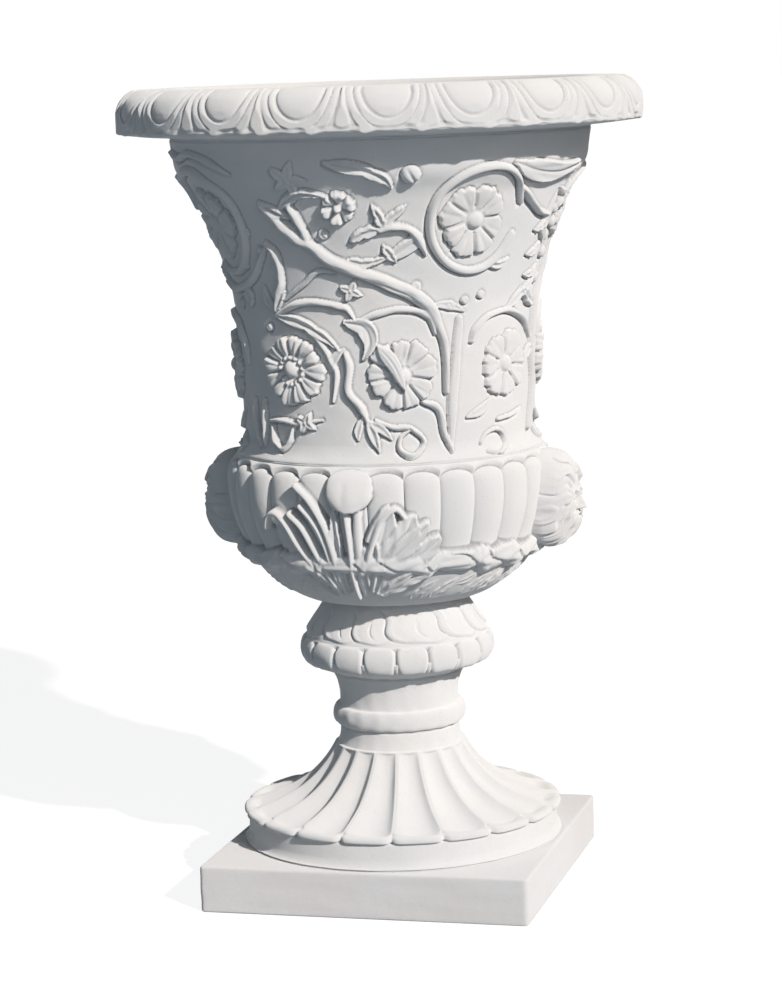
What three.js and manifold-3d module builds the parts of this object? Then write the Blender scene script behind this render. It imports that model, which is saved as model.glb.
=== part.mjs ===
// A campana vase of white cast stone, 800 mm tall: an open bell on a gadrooned bowl, a knop, a fluted foot
// and a square plinth. Seven castings are stacked on thin mortar beds. A threaded rod ties the bowl, knop,
// stem, foot and plinth together, steel dowels pin the bell and the rim, and two cast masks are pinned to
// the bowl. Lengths are in millimetres, +Z is up, and the origin is the middle of the plinth's underside.
// Angles run round the axis from the front, which is -Y, towards the right, which is +X.

import * as THREE from "three";
import { mergeVertices } from "three/addons/utils/BufferGeometryUtils.js";
import Module from "manifold-3d";

const wasm = await Module();
wasm.setup();

// Clearances
const SEAT_GAP = 0.3; // between a seat and what rests on it
const PIN_GAP = 0.3; // all round a pin in its hole
const SPIGOT_GAP = 0.6; // all round a spigot in its socket
const HOLE_END_GAP = 1; // between a pin's end and the bottom of its hole

// Mortar beds
const BED_THICKNESS = 1.4;
const BED_SETBACK = 2; // from the face of the narrower casting

// Plinth
const PLINTH_SIDE = 330;
const PLINTH_HEIGHT = 46;
const PLINTH_CORNER = 5;
const PLINTH_BEVEL = 1.5;

// Foot: a round step, a fluted flare and a plain band
const FOOT_HEIGHT = 111;
const STEP_RADIUS = 161;
const STEP_WAIST_SETBACK = 5; // of the step's side behind its foot
const STEP_HEIGHT = 24;
const LIP_RADIUS = 160;
const LIP_THICKNESS = 6;
const FLUTE_TOP = 82; // height of the flutes' upper ends above the foot's underside
const FLUTE_TOP_RADIUS = 71;
const FLUTE_COUNT = 19;
const FLUTE_DEPTH = 5;
const FOOT_TOP_RADIUS = 60;

// Stem: a ring and a neck
const STEM_HEIGHT = 53;
const RING_RADIUS = 66.5;
const RING_HEIGHT = 20;
const NECK_RADIUS = 59;
const STEM_TOP_RADIUS = 66;

// Knop: a row of beads under a leafy slope
const KNOP_HEIGHT = 75;
const BEAD_RADIUS = 97;
const BEAD_BASE = 5; // height of the beads' lowest point above the knop's underside
const BEAD_HEIGHT = 27;
const BEAD_COUNT = 18;
const BEAD_GROOVE = 6;
const KNOP_LEAF_COUNT = 12;
const KNOP_LEAF_RELIEF = 3;
const KNOP_TOP_RADIUS = 67;

// Bowl: gadroons on the belly, a tall leaf on its front and its back, and a ruffled row of leaves below
const BOWL_HEIGHT = 147;
const BOWL_FOOT_RADIUS = 73;
const BOWL_RADIUS = 164;
const BELLY_HEIGHT = 112; // height of the widest point above the bowl's underside
const SHOULDER_RADIUS = 151; // of the joint between the bowl and the bell
const BOWL_MOUTH_WALL = 29; // between the joint's face and the mouth
const BOWL_FLOOR = 24;
const BOWL_FLOOR_RADIUS = 62;
const GADROON_COUNT = 28;
const GADROON_DEPTH = 7;
const GADROON_BASE = 30; // height of the gadroons' lower ends
const GADROON_TOP = 136; // height of their upper ends
const GADROON_TOP_DROP = 6; // how much lower a gadroon ends at its sides than in its middle
const GADROON_TOP_ROLL = 10; // height over which an upper end fades in
const TALL_LEAF_LENGTH = 134; // up the bowl's face, from the middle of the leaf's foot
const TALL_LEAF_SPREAD = 50; // degrees to either side of the midrib
const TALL_LEAFLETS = 7;
const CURL_WIDTH = 46; // the tall leaf's curled tip
const CURL_LENGTH = 42;
const CURL_MIDDLE = 122; // height above the bowl's underside
const CURL_RELIEF = 15;
const LOW_LEAF_HEIGHT = 56;
const LOW_LEAF_COUNT = 22;
const LEAF_RELIEF = 8;

// Bell
const BELL_HEIGHT = 308;
const BELL_WAIST_SETBACK = 7; // of the waist behind the joint's face
const BELL_MIDDLE_RADIUS = 149;
const BELL_MIDDLE = 130; // height at which the bell begins to flare
const BELL_FLARE_RADIUS = 184;
const BELL_FLARE_DROP = 56; // from the bell's top down to where the flare meets the collar under the rim
const BELL_COLLAR_DROP = 18; // from the bell's top down to where the collar stands upright
const BELL_TOP_RADIUS = 207;
const BELL_COLLAR_SETBACK = 3; // of the collar behind the bell's top
const BELL_FOOT_ROLL = 10; // height of the rounded foot
const BELL_WALL = 22;

// Carving on the bell, the same on both halves. Places are an angle in degrees and a height above the
// bell's underside.
const LOW_ROSETTE_HEIGHT = 86;
const LOW_ROSETTE_RADIUS = 34;
const LOW_ROSETTES = [-70, -24, 20, 64];
const TOP_ROSETTE_DROP = 78; // from the bell's top down to the upper rosettes' middles
const TOP_ROSETTE_RADIUS = 37;
const TOP_ROSETTES = [-50, 46];
const BLOSSOM_HEIGHT = 244;
const BLOSSOM_RADIUS = 15;
const BLOSSOMS = [2];
const ROSETTE_RELIEF = 8;
const ROSETTE_PETALS = 8;
const SCROLL_RADIUS = 50; // vine rings round the upper rosettes
const SCROLL_THICKNESS = 5.5;
const SCROLL_PLACES = 8;
const SCROLLS = [ // angle of the middle, and the ring's first and last direction from straight up
  [-50, -75, 215],
  [46, -250, 75],
];
const VINES = [ // radius of the vine, and its places
  [6, [[-23, 249], [-14, 220], [-2, 195], [12, 178], [26, 160], [35, 128], [37, 66]]],
  [4.5, [[-26, 212], [-23, 184], [-29, 146]]],
  [4.5, [[-28, 143], [-12, 156], [4, 137]]],
  [4.5, [[-29, 141], [-11, 125], [-2, 106], [0, 71], [6, 45], [11, 12]]],
  [4, [[8, 138], [21, 147], [34, 126]]],
  [4.5, [[28, 58], [36, 28], [39, 9]]],
  [4.5, [[14, 224], [24, 222], [29, 198]]],
  [4.5, [[42, 112], [40, 60], [39, 10]]],
  [4.5, [[48, 112], [55, 134], [70, 137], [84, 108]]],
  [4.5, [[60, 258], [72, 234], [82, 227]]],
  [4.5, [[-90, 108], [-80, 137], [-60, 134], [-50, 92]]],
  [5, [[-62, 172], [-47, 168], [-34, 188], [-26, 212]]],
  [5, [[-96, 20], [-95, 100], [-84, 205]]],
];
const LEAVES = [ // half the leaf's width, and the places of its midrib
  [6, [[-17, 246], [-7, 261], [0, 256]]],
  [6, [[14, 224], [4, 213]]],
  [8, [[0, 136], [8, 122], [6, 99]]],
  [7, [[12, 113], [21, 70]]],
  [6, [[-84, 205], [-85, 242]]],
];
const TOP_LEAVES = [ // the same, with heights counted down from the bell's top
  [6, [[0, 20], [12, 29], [18, 45]]],
  [7, [[54, 27], [66, 36], [86, 29]]],
  [6, [[-86, 63], [-70, 32]]],
];

// Rim
const RIM_HEIGHT = 48;
const RIM_RADIUS = 259;
const RIM_LIP_WIDTH = 28; // flat top
const RIM_MOUTH_BEVEL = 3;
const RIM_DRIP = 5; // height of the outer edge above the rim's underside
const EGG_COUNT = 20;
const EGG_TURN = -1.4; // degrees from the front to the middle of an egg
const EGG_RELIEF = 5.4;
const EGG_GROUND = 2.6; // how far the ground of the eggs lies behind the plain round face
const EGG_WIDTH = 0.58; // share of an egg's cell
const EGG_MIDDLE = 0.82; // share of the round face's height at which an egg is widest
const EGG_LENGTH = 0.46; // from there down to its tip, as a share of the same height
const DART_RELIEF = 1;

// Masks
const MASK_WIDTH = 80;
const MASK_HEIGHT = 96;
const MASK_REACH = 194; // radius of the brow from the vase's axis
const MASK_DEPTH = 44; // of the head behind its brow
const MASK_DROP = 2; // of the mask's crown below the bowl's top
const MASK_SQUARENESS = 0.8; // 1 for a ball, and less for a squarer head
const MASK_FACE_SETBACK = 6; // of the plain dome behind the reach, for the relief of the face
const MASK_HAIR_RELIEF = 5;
const MASK_LOCK_RELIEF = 2.2;
const MASK_LOCKS = 14;

// Rod, nuts and washers
const ROD_RADIUS = 8;
const ROD_END = 6; // how far the rod runs past each nut
const BORE_RADIUS = 9.5;
const NUT_WIDTH = 24; // across the flats
const NUT_HEIGHT = 13;
const WASHER_RADIUS = 24;
const WASHER_THICKNESS = 3;
const SEAL_THICKNESS = 3;
const NUT_POCKET_RADIUS = 30;
const NUT_POCKET_DEPTH = 27;

// Spigots that centre the castings on each other
const SPIGOT_RADIUS = 34;
const SPIGOT_HEIGHT = 8;

// Dowels
const DOWEL_RADIUS = 4;
const DOWEL_LENGTH = 40;
const DOWELS_IN_A_RING = 4;
const MASK_DOWEL_LENGTH = 26;
const MASK_DOWEL_SPACING = 36;

// Fineness of the round forms
const CURVE_STEPS = 5;
const BELLY_STEPS = 7;
const COLUMNS_PER_FLUTE = 4;
const COLUMNS_PER_BEAD = 4;
const COLUMNS_PER_GADROON = 4;
const COLUMNS_PER_EGG = 6;
const PLAIN_COLUMNS = 36;
const BED_COLUMNS = 24;
const SMALL_COLUMNS = 12;
const MASK_COLUMNS = 22;
const MASK_ROWS = 16;
const VINE_SIDES = 4;
const VINE_STEP = 36; // millimetres

// Heights of the castings' undersides
const JOINT = BED_THICKNESS + 2 * SEAT_GAP;
const FOOT_BASE = PLINTH_HEIGHT + JOINT;
const STEM_BASE = FOOT_BASE + FOOT_HEIGHT + JOINT;
const KNOP_BASE = STEM_BASE + STEM_HEIGHT + JOINT;
const BOWL_BASE = KNOP_BASE + KNOP_HEIGHT + JOINT;
const BELL_BASE = BOWL_BASE + BOWL_HEIGHT + JOINT;
const RIM_BASE = BELL_BASE + BELL_HEIGHT + JOINT;

// Radii that follow the joint between the bowl and the bell
const BOWL_MOUTH_RADIUS = SHOULDER_RADIUS - BOWL_MOUTH_WALL;
const BELL_WAIST_RADIUS = SHOULDER_RADIUS - BELL_WAIST_SETBACK;

// Places on the bell, above its underside
const BELL_FLARE = BELL_HEIGHT - BELL_FLARE_DROP;
const BELL_COLLAR = BELL_HEIGHT - BELL_COLLAR_DROP;
const TOP_ROSETTE_HEIGHT = BELL_HEIGHT - TOP_ROSETTE_DROP;

// Materials
const stone = new THREE.MeshStandardMaterial({ color: 0xe9e6e1, roughness: 0.75, metalness: 0 });
const mortar = new THREE.MeshStandardMaterial({ color: 0xdcd9d2, roughness: 0.95, metalness: 0 });
const steel = new THREE.MeshStandardMaterial({ color: 0xb4b6b8, roughness: 0.35, metalness: 1 });
const rubber = new THREE.MeshStandardMaterial({ color: 0x202122, roughness: 0.9, metalness: 0 });

// Solids

// A geometry as a solid, with its shared corners merged and its empty triangles left out.
function solidOf(geometry) {
  const bare = new THREE.BufferGeometry();
  bare.setAttribute("position", geometry.getAttribute("position"));
  bare.setIndex(geometry.index);
  const merged = mergeVertices(bare, 1e-4);
  const corners = [];
  for (let i = 0; i < merged.index.count; i += 3) {
    const [a, b, c] = [0, 1, 2].map((k) => merged.index.getX(i + k));
    if (a !== b && b !== c && c !== a) corners.push(a, b, c);
  }
  const mesh = new wasm.Mesh({
    numProp: 3,
    vertProperties: merged.attributes.position.array,
    triVerts: new Uint32Array(corners),
  });
  return new wasm.Manifold(mesh);
}

// A solid as a geometry with a normal for each face.
function geometryOf(solid) {
  const mesh = solid.getMesh();
  const positions = new Float32Array(mesh.numVert * 3);
  for (let i = 0; i < mesh.numVert; i++) {
    positions.set(mesh.vertProperties.subarray(i * mesh.numProp, i * mesh.numProp + 3), i * 3);
  }
  const geometry = new THREE.BufferGeometry();
  geometry.setAttribute("position", new THREE.BufferAttribute(positions, 3));
  geometry.setIndex(new THREE.BufferAttribute(mesh.triVerts, 1));
  const faceted = geometry.toNonIndexed();
  faceted.computeVertexNormals();
  return faceted;
}

// The geometry left when tools are cut out of it.
function cut(geometry, tools) {
  const left = tools.reduce((solid, tool) => solid.subtract(solidOf(tool)), solidOf(geometry));
  return geometryOf(left);
}

function join(geometries) {
  return geometryOf(geometries.map(solidOf).reduce((sum, solid) => sum.add(solid)));
}

// Turns an outline of (radius, height) points round +Z. carve(angle, point) gives how far the surface
// stands out along the outline's own normal.
function turned(path, columns, carve, steps = CURVE_STEPS) {
  const points = path.getPoints(steps);
  const geometry = new THREE.LatheGeometry(points, columns);
  if (carve) {
    const last = points.length - 1;
    const closed = points[0].distanceTo(points[last]) < 1e-6;
    const normals = points.map((point, i) => {
      const before = points[i === 0 ? (closed ? last - 1 : 0) : i - 1];
      const after = points[i === last ? (closed ? 1 : last) : i + 1];
      return new THREE.Vector2(after.y - before.y, before.x - after.x).normalize();
    });
    const position = geometry.attributes.position;
    for (let column = 0; column <= columns; column++) {
      const angle = ((column % columns) / columns) * 2 * Math.PI;
      points.forEach((point, i) => {
        const out = point.x > 0 ? carve(angle, point) : 0;
        const radius = point.x + normals[i].x * out;
        const height = point.y + normals[i].y * out;
        position.setXYZ(column * points.length + i, radius * Math.sin(angle), height, radius * Math.cos(angle));
      });
    }
  }
  return geometry.rotateX(Math.PI / 2);
}

function path(start) {
  return new THREE.Path().moveTo(...start);
}

// A plain round bar along +Z, from one height to another.
function bar(radius, from, to, columns = SMALL_COLUMNS) {
  return new THREE.CylinderGeometry(radius, radius, to - from, columns)
    .rotateX(Math.PI / 2)
    .translate(0, 0, (from + to) / 2);
}

// A flat ring along +Z, from one height to another.
function ring(outer, inner, from, to, columns = BED_COLUMNS) {
  const outline = path([inner, from]);
  outline.lineTo(outer, from).lineTo(outer, to).lineTo(inner, to).lineTo(inner, from);
  return turned(outline, columns);
}

// How far a lobe with a round section falls back, from 0 at its middle to 1 at its edges.
function roundEdge(side) {
  return 1 - Math.sqrt(Math.max(1 - side ** 2, 0));
}

// 0 before the first limit, 1 after the second, and smooth between them.
function rise(value, from, to) {
  return THREE.MathUtils.smoothstep(value, from, to);
}

// From 0 to 1 across one of count equal cells round the axis, counted from the middle of a cell at the front.
function acrossCell(angle, count) {
  const cells = (angle / (2 * Math.PI)) * count + 0.5;
  return cells - Math.floor(cells);
}

// From 0 to 1 across one of count equal cells of a line that runs from -1 to 1.
function acrossLine(place, count) {
  const cells = ((place + 1) / 2) * count;
  return cells - Math.floor(cells);
}

// The spigot on a casting's top, and the socket in the underside of the next one.
function spigot(top) {
  return bar(SPIGOT_RADIUS, top - SPIGOT_HEIGHT, top + SPIGOT_HEIGHT);
}

function socket() {
  const depth = SPIGOT_HEIGHT - JOINT + HOLE_END_GAP;
  return bar(SPIGOT_RADIUS + SPIGOT_GAP, -depth, depth);
}

function bore(height) {
  return bar(BORE_RADIUS, -height, 2 * height);
}

// Blind dowel holes in a face, for dowels of the given length that reach halfway into it.
function dowelHoles(circleRadius, face, length) {
  const depth = length / 2 + HOLE_END_GAP;
  return dowelAngles().map((angle) =>
    bar(DOWEL_RADIUS + PIN_GAP, face - depth, face + depth)
      .translate(circleRadius * Math.sin(angle), -circleRadius * Math.cos(angle), 0),
  );
}

function dowelAngles() {
  return Array.from({ length: DOWELS_IN_A_RING }, (_, i) => ((i + 0.5) / DOWELS_IN_A_RING) * 2 * Math.PI);
}

// Castings, each with its underside at zero height

function plinthGeometry() {
  const half = PLINTH_SIDE / 2 - PLINTH_BEVEL;
  const corner = PLINTH_CORNER;
  const square = new THREE.Shape().moveTo(-half + corner, -half);
  square.lineTo(half - corner, -half).quadraticCurveTo(half, -half, half, -half + corner);
  square.lineTo(half, half - corner).quadraticCurveTo(half, half, half - corner, half);
  square.lineTo(-half + corner, half).quadraticCurveTo(-half, half, -half, half - corner);
  square.lineTo(-half, -half + corner).quadraticCurveTo(-half, -half, -half + corner, -half);
  const slab = new THREE.ExtrudeGeometry(square, {
    depth: PLINTH_HEIGHT - 2 * PLINTH_BEVEL,
    bevelSize: PLINTH_BEVEL,
    bevelThickness: PLINTH_BEVEL,
    bevelSegments: 1,
    curveSegments: 3,
  }).translate(0, 0, PLINTH_BEVEL);
  const pocket = bar(NUT_POCKET_RADIUS, -NUT_POCKET_DEPTH, NUT_POCKET_DEPTH);
  return cut(join([slab, spigot(PLINTH_HEIGHT)]), [bore(PLINTH_HEIGHT + SPIGOT_HEIGHT), pocket]);
}

// The flutes are scoops with sharp ridges between them, and their lower ends make the lip scalloped.
function fluteCarving(angle, point) {
  const lipTop = STEP_HEIGHT + LIP_THICKNESS;
  if (point.y < STEP_HEIGHT || point.y > FLUTE_TOP) return 0;
  const side = 2 * acrossCell(angle, FLUTE_COUNT) - 1;
  if (point.y < lipTop) return -FLUTE_DEPTH * side ** 4;
  const fade = rise(FLUTE_TOP - point.y, 0, (FLUTE_TOP - lipTop) / 4);
  return -FLUTE_DEPTH * (1 - side ** 2) * fade;
}

function footGeometry() {
  const lipTop = STEP_HEIGHT + LIP_THICKNESS;
  const waistRadius = STEP_RADIUS - STEP_WAIST_SETBACK;
  const outline = path([0, 0]);
  outline.lineTo(STEP_RADIUS, 0);
  outline.quadraticCurveTo(waistRadius, 0.2 * STEP_HEIGHT, waistRadius, STEP_HEIGHT);
  outline.lineTo(LIP_RADIUS, STEP_HEIGHT + LIP_THICKNESS / 3);
  outline.lineTo(LIP_RADIUS - LIP_THICKNESS / 2, lipTop);
  outline.bezierCurveTo(
    0.62 * LIP_RADIUS, lipTop + 0.3 * (FLUTE_TOP - lipTop),
    1.16 * FLUTE_TOP_RADIUS, lipTop + 0.62 * (FLUTE_TOP - lipTop),
    FLUTE_TOP_RADIUS, FLUTE_TOP,
  );
  outline.quadraticCurveTo(FOOT_TOP_RADIUS, (FLUTE_TOP + FOOT_HEIGHT) / 2, FOOT_TOP_RADIUS, FOOT_HEIGHT);
  outline.lineTo(0, FOOT_HEIGHT);
  const body = turned(outline, FLUTE_COUNT * COLUMNS_PER_FLUTE, fluteCarving);
  return cut(join([body, spigot(FOOT_HEIGHT)]), [bore(FOOT_HEIGHT + SPIGOT_HEIGHT), socket()]);
}

function stemGeometry() {
  const outline = path([0, 0]);
  outline.lineTo(FOOT_TOP_RADIUS, 0);
  outline.bezierCurveTo(RING_RADIUS + 2, 0, RING_RADIUS + 2, RING_HEIGHT, NECK_RADIUS, RING_HEIGHT);
  outline.quadraticCurveTo(NECK_RADIUS, 0.75 * STEM_HEIGHT, STEM_TOP_RADIUS, STEM_HEIGHT);
  outline.lineTo(0, STEM_HEIGHT);
  const body = turned(outline, PLAIN_COLUMNS);
  return cut(join([body, spigot(STEM_HEIGHT)]), [bore(STEM_HEIGHT + SPIGOT_HEIGHT), socket()]);
}

// Grooves part the beads, and pointed leaves lie on the slope above them.
function knopCarving(angle, point) {
  const within = (point.y - BEAD_BASE) / BEAD_HEIGHT;
  if (within < 0 || point.y >= KNOP_HEIGHT) return 0;
  if (within <= 1) {
    const side = Math.abs(2 * acrossCell(angle, BEAD_COUNT) - 1);
    return -BEAD_GROOVE * roundEdge(side) * Math.sin(Math.PI * within);
  }
  const up = (point.y - BEAD_BASE - BEAD_HEIGHT) / (KNOP_HEIGHT - BEAD_BASE - BEAD_HEIGHT);
  const side = Math.abs(2 * acrossCell(angle, KNOP_LEAF_COUNT) - 1);
  const isLeaf = side < 2 * up;
  return isLeaf ? KNOP_LEAF_RELIEF * (1 - 0.5 * side) * rise(1 - up, 0, 0.3) : 0;
}

function knopGeometry() {
  const beadTop = BEAD_BASE + BEAD_HEIGHT;
  const inner = 0.9 * BEAD_RADIUS;
  const outline = path([0, 0]);
  outline.lineTo(STEM_TOP_RADIUS, 0);
  outline.lineTo(inner, BEAD_BASE);
  outline.bezierCurveTo(BEAD_RADIUS + 2, BEAD_BASE, BEAD_RADIUS + 4, 0.8 * beadTop, inner, beadTop);
  outline.quadraticCurveTo(0.76 * BEAD_RADIUS, 0.72 * KNOP_HEIGHT, KNOP_TOP_RADIUS, KNOP_HEIGHT);
  outline.lineTo(0, KNOP_HEIGHT);
  const body = turned(outline, BEAD_COUNT * COLUMNS_PER_BEAD, knopCarving);
  return cut(join([body, spigot(KNOP_HEIGHT)]), [bore(KNOP_HEIGHT + SPIGOT_HEIGHT), socket()]);
}

// The angle from the nearer of the bowl's front and back, in radians.
function fromTallLeaf(angle) {
  return angle - Math.PI * Math.round(angle / Math.PI);
}

// How far the tall leaf stands out: leaflets that fan out from its foot, and a curled tip.
function tallLeafRelief(angle, point) {
  const across = fromTallLeaf(angle) * point.x;
  const length = Math.hypot(across, point.y);
  const lean = Math.atan2(across, Math.max(point.y, 1)) / THREE.MathUtils.degToRad(TALL_LEAF_SPREAD);
  if (Math.abs(lean) > 1) return 0;
  const leaflet = 1 - Math.abs(2 * acrossLine(lean, TALL_LEAFLETS) - 1);
  const end = TALL_LEAF_LENGTH * (0.8 + 0.15 * leaflet) * (1 - 0.25 * lean ** 2);
  const blade = length < end ? LEAF_RELIEF * (0.35 + 0.65 * leaflet) * (0.5 + (0.5 * length) / end) : 0;
  const out = Math.hypot((2 * across) / CURL_WIDTH, (2 * (point.y - CURL_MIDDLE)) / CURL_LENGTH);
  return Math.max(blade, out < 1 ? CURL_RELIEF * Math.sqrt(1 - out ** 2) : 0);
}

// The low leaves lean out towards a ruffled edge.
function lowLeafRelief(angle, point) {
  const side = Math.abs(2 * acrossCell(angle, LOW_LEAF_COUNT) - 1);
  const end = LOW_LEAF_HEIGHT * (1 - 0.14 * side);
  return point.y < end ? LEAF_RELIEF * (0.4 + (0.6 * point.y) / end) * (1 - 0.35 * side) : 0;
}

function gadroonRelief(angle, point) {
  const side = Math.abs(2 * acrossCell(angle, GADROON_COUNT) - 1);
  const top = GADROON_TOP - GADROON_TOP_DROP * roundEdge(side);
  const fade = rise(point.y, 0, GADROON_BASE) * rise(top - point.y, 0, GADROON_TOP_ROLL);
  return -GADROON_DEPTH * roundEdge(side) * fade;
}

function bowlCarving(angle, point) {
  if (point.y <= 0 || point.y >= BOWL_HEIGHT) return 0;
  const base = rise(point.y, 0, LEAF_RELIEF);
  const leaves = base * Math.max(tallLeafRelief(angle, point), lowLeafRelief(angle, point));
  return leaves > 0 ? leaves : gadroonRelief(angle, point);
}

function bowlOutline(outline) {
  outline.lineTo(BOWL_FOOT_RADIUS, 0);
  outline.bezierCurveTo(
    0.66 * BOWL_RADIUS, 0.03 * BELLY_HEIGHT,
    0.97 * BOWL_RADIUS, 0.42 * BELLY_HEIGHT,
    BOWL_RADIUS, BELLY_HEIGHT,
  );
  outline.quadraticCurveTo(BOWL_RADIUS, BOWL_HEIGHT - 3, SHOULDER_RADIUS, BOWL_HEIGHT);
  return outline;
}

function bowlBlank() {
  const outline = bowlOutline(path([0, 0]));
  outline.lineTo(0, BOWL_HEIGHT);
  return turned(outline, GADROON_COUNT * COLUMNS_PER_GADROON, bowlCarving, BELLY_STEPS);
}

function bowlHollow() {
  const outline = path([0, BOWL_FLOOR]);
  outline.lineTo(BOWL_FLOOR_RADIUS, BOWL_FLOOR);
  outline.quadraticCurveTo(BOWL_MOUTH_RADIUS, BOWL_FLOOR, BOWL_MOUTH_RADIUS, 0.7 * BOWL_HEIGHT);
  outline.lineTo(BOWL_MOUTH_RADIUS, 2 * BOWL_HEIGHT);
  outline.lineTo(0, 2 * BOWL_HEIGHT);
  return turned(outline, PLAIN_COLUMNS);
}

function bowlGeometry() {
  const holes = dowelHoles(bowlDowelCircle(), BOWL_HEIGHT, DOWEL_LENGTH - JOINT);
  return cut(bowlBlank(), [bowlHollow(), bore(BOWL_FLOOR), socket(), ...holes, ...maskDowelHoles()]);
}

// Half the width between the mouth and the bell's narrowest face.
function bowlDowelCircle() {
  return (BOWL_MOUTH_RADIUS + BELL_WAIST_RADIUS) / 2;
}

function rimDowelCircle() {
  return BELL_TOP_RADIUS - BELL_WALL / 2;
}

// The bell's outer face, from its foot to its top.
function bellFace(outline) {
  const collarRadius = BELL_TOP_RADIUS - BELL_COLLAR_SETBACK;
  outline.lineTo(SHOULDER_RADIUS, 0);
  outline.quadraticCurveTo(SHOULDER_RADIUS + 1, BELL_FOOT_ROLL / 2, BELL_WAIST_RADIUS, BELL_FOOT_ROLL);
  outline.lineTo(BELL_MIDDLE_RADIUS, BELL_MIDDLE);
  outline.bezierCurveTo(
    BELL_MIDDLE_RADIUS, BELL_MIDDLE + 0.29 * (BELL_FLARE - BELL_MIDDLE),
    BELL_MIDDLE_RADIUS + 0.32 * (BELL_FLARE_RADIUS - BELL_MIDDLE_RADIUS),
    BELL_MIDDLE + 0.54 * (BELL_FLARE - BELL_MIDDLE),
    BELL_FLARE_RADIUS, BELL_FLARE,
  );
  outline.bezierCurveTo(
    BELL_FLARE_RADIUS + 0.4 * (collarRadius - BELL_FLARE_RADIUS),
    BELL_FLARE + 0.45 * (BELL_COLLAR - BELL_FLARE),
    collarRadius - 1, BELL_FLARE + 0.5 * (BELL_COLLAR - BELL_FLARE),
    collarRadius, BELL_COLLAR,
  );
  outline.lineTo(BELL_TOP_RADIUS, BELL_HEIGHT);
  return outline;
}

const bellFacePoints = bellFace(path([SHOULDER_RADIUS, -1])).getPoints(CURVE_STEPS);

function bellRadius(height) {
  const above = bellFacePoints.findIndex((point, i) => i > 0 && point.y >= height);
  const [low, high] = [bellFacePoints[above - 1], bellFacePoints[above]];
  return THREE.MathUtils.mapLinear(height, low.y, high.y, low.x, high.x);
}

// A point that stands out of the bell's face.
function onBell(degrees, height, out = 0) {
  const angle = THREE.MathUtils.degToRad(degrees);
  const radius = bellRadius(height) + out;
  return new THREE.Vector3(radius * Math.sin(angle), -radius * Math.cos(angle), height);
}

// A flat ornament laid on the bell's face: its x runs round the bell, its y up and its z outwards.
function laidOnBell(geometry, degrees, height) {
  const position = geometry.attributes.position;
  const perDegree = (bellRadius(height) * Math.PI) / 180;
  for (let i = 0; i < position.count; i++) {
    const place = onBell(degrees + position.getX(i) / perDegree, height + position.getY(i), position.getZ(i));
    position.setXYZ(i, place.x, place.y, place.z);
  }
  return geometry;
}

// A rosette with a round boss, its petals parted by notches.
function rosette(radius) {
  const relief = ROSETTE_RELIEF * Math.sqrt(radius / TOP_ROSETTE_RADIUS);
  const outline = path([0, -relief]);
  outline.lineTo(1.08 * radius, -0.4 * relief).lineTo(0.7 * radius, 0.9 * relief);
  outline.lineTo(0.3 * radius, 0.3 * relief).lineTo(0, 1.3 * relief);
  const petals = (angle, point) => {
    const notch = Math.abs(2 * acrossCell(angle, ROSETTE_PETALS) - 1);
    return point.x > 0.5 * radius && point.y > 0 ? -0.3 * relief * notch : 0;
  };
  const geometry = turned(outline, 2 * ROSETTE_PETALS, petals);
  const position = geometry.attributes.position;
  for (let i = 0; i < position.count; i++) {
    const [x, y] = [position.getX(i), position.getY(i)];
    const notch = Math.abs(2 * acrossCell(Math.atan2(x, -y), ROSETTE_PETALS) - 1);
    const share = Math.hypot(x, y) > 0.9 * radius ? 1 - 0.14 * notch : 1;
    position.setXYZ(i, x * share, y * share, position.getZ(i));
  }
  return geometry;
}

// A round vine or leaf along a line of places on the bell.
function vine(radius, places) {
  const curve = new THREE.CatmullRomCurve3(places.map(([degrees, height]) => onBell(degrees, height)));
  const section = new THREE.Shape().absarc(0, 0, radius, 0, 2 * Math.PI);
  return new THREE.ExtrudeGeometry(section, {
    extrudePath: curve,
    steps: Math.max(places.length - 1, Math.round(curve.getLength() / VINE_STEP)),
    curveSegments: VINE_SIDES / 2,
  });
}

// The vine that runs round an upper rosette.
function scroll(degrees, first, last) {
  const perDegree = (bellRadius(TOP_ROSETTE_HEIGHT) * Math.PI) / 180;
  const places = Array.from({ length: SCROLL_PLACES }, (_, i) => {
    const turn = THREE.MathUtils.degToRad(first + (i / (SCROLL_PLACES - 1)) * (last - first));
    const across = (SCROLL_RADIUS * Math.sin(turn)) / perDegree;
    return [degrees + across, TOP_ROSETTE_HEIGHT + SCROLL_RADIUS * Math.cos(turn)];
  });
  return vine(SCROLL_THICKNESS, places);
}

function bellCarvings() {
  const carvings = [];
  const fromTop = ([radius, places]) => [radius, places.map(([degrees, drop]) => [degrees, BELL_HEIGHT - drop])];
  const lines = [...VINES, ...LEAVES, ...TOP_LEAVES.map(fromTop)];
  for (const half of [0, 180]) {
    const lay = (radius, height) => (degrees) => laidOnBell(rosette(radius), half + degrees, height);
    carvings.push(...LOW_ROSETTES.map(lay(LOW_ROSETTE_RADIUS, LOW_ROSETTE_HEIGHT)));
    carvings.push(...TOP_ROSETTES.map(lay(TOP_ROSETTE_RADIUS, TOP_ROSETTE_HEIGHT)));
    carvings.push(...BLOSSOMS.map(lay(BLOSSOM_RADIUS, BLOSSOM_HEIGHT)));
    carvings.push(...SCROLLS.map(([degrees, first, last]) => scroll(half + degrees, first, last)));
    for (const [radius, places] of lines) {
      carvings.push(vine(radius, places.map(([degrees, height]) => [half + degrees, height])));
    }
  }
  return carvings;
}

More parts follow.
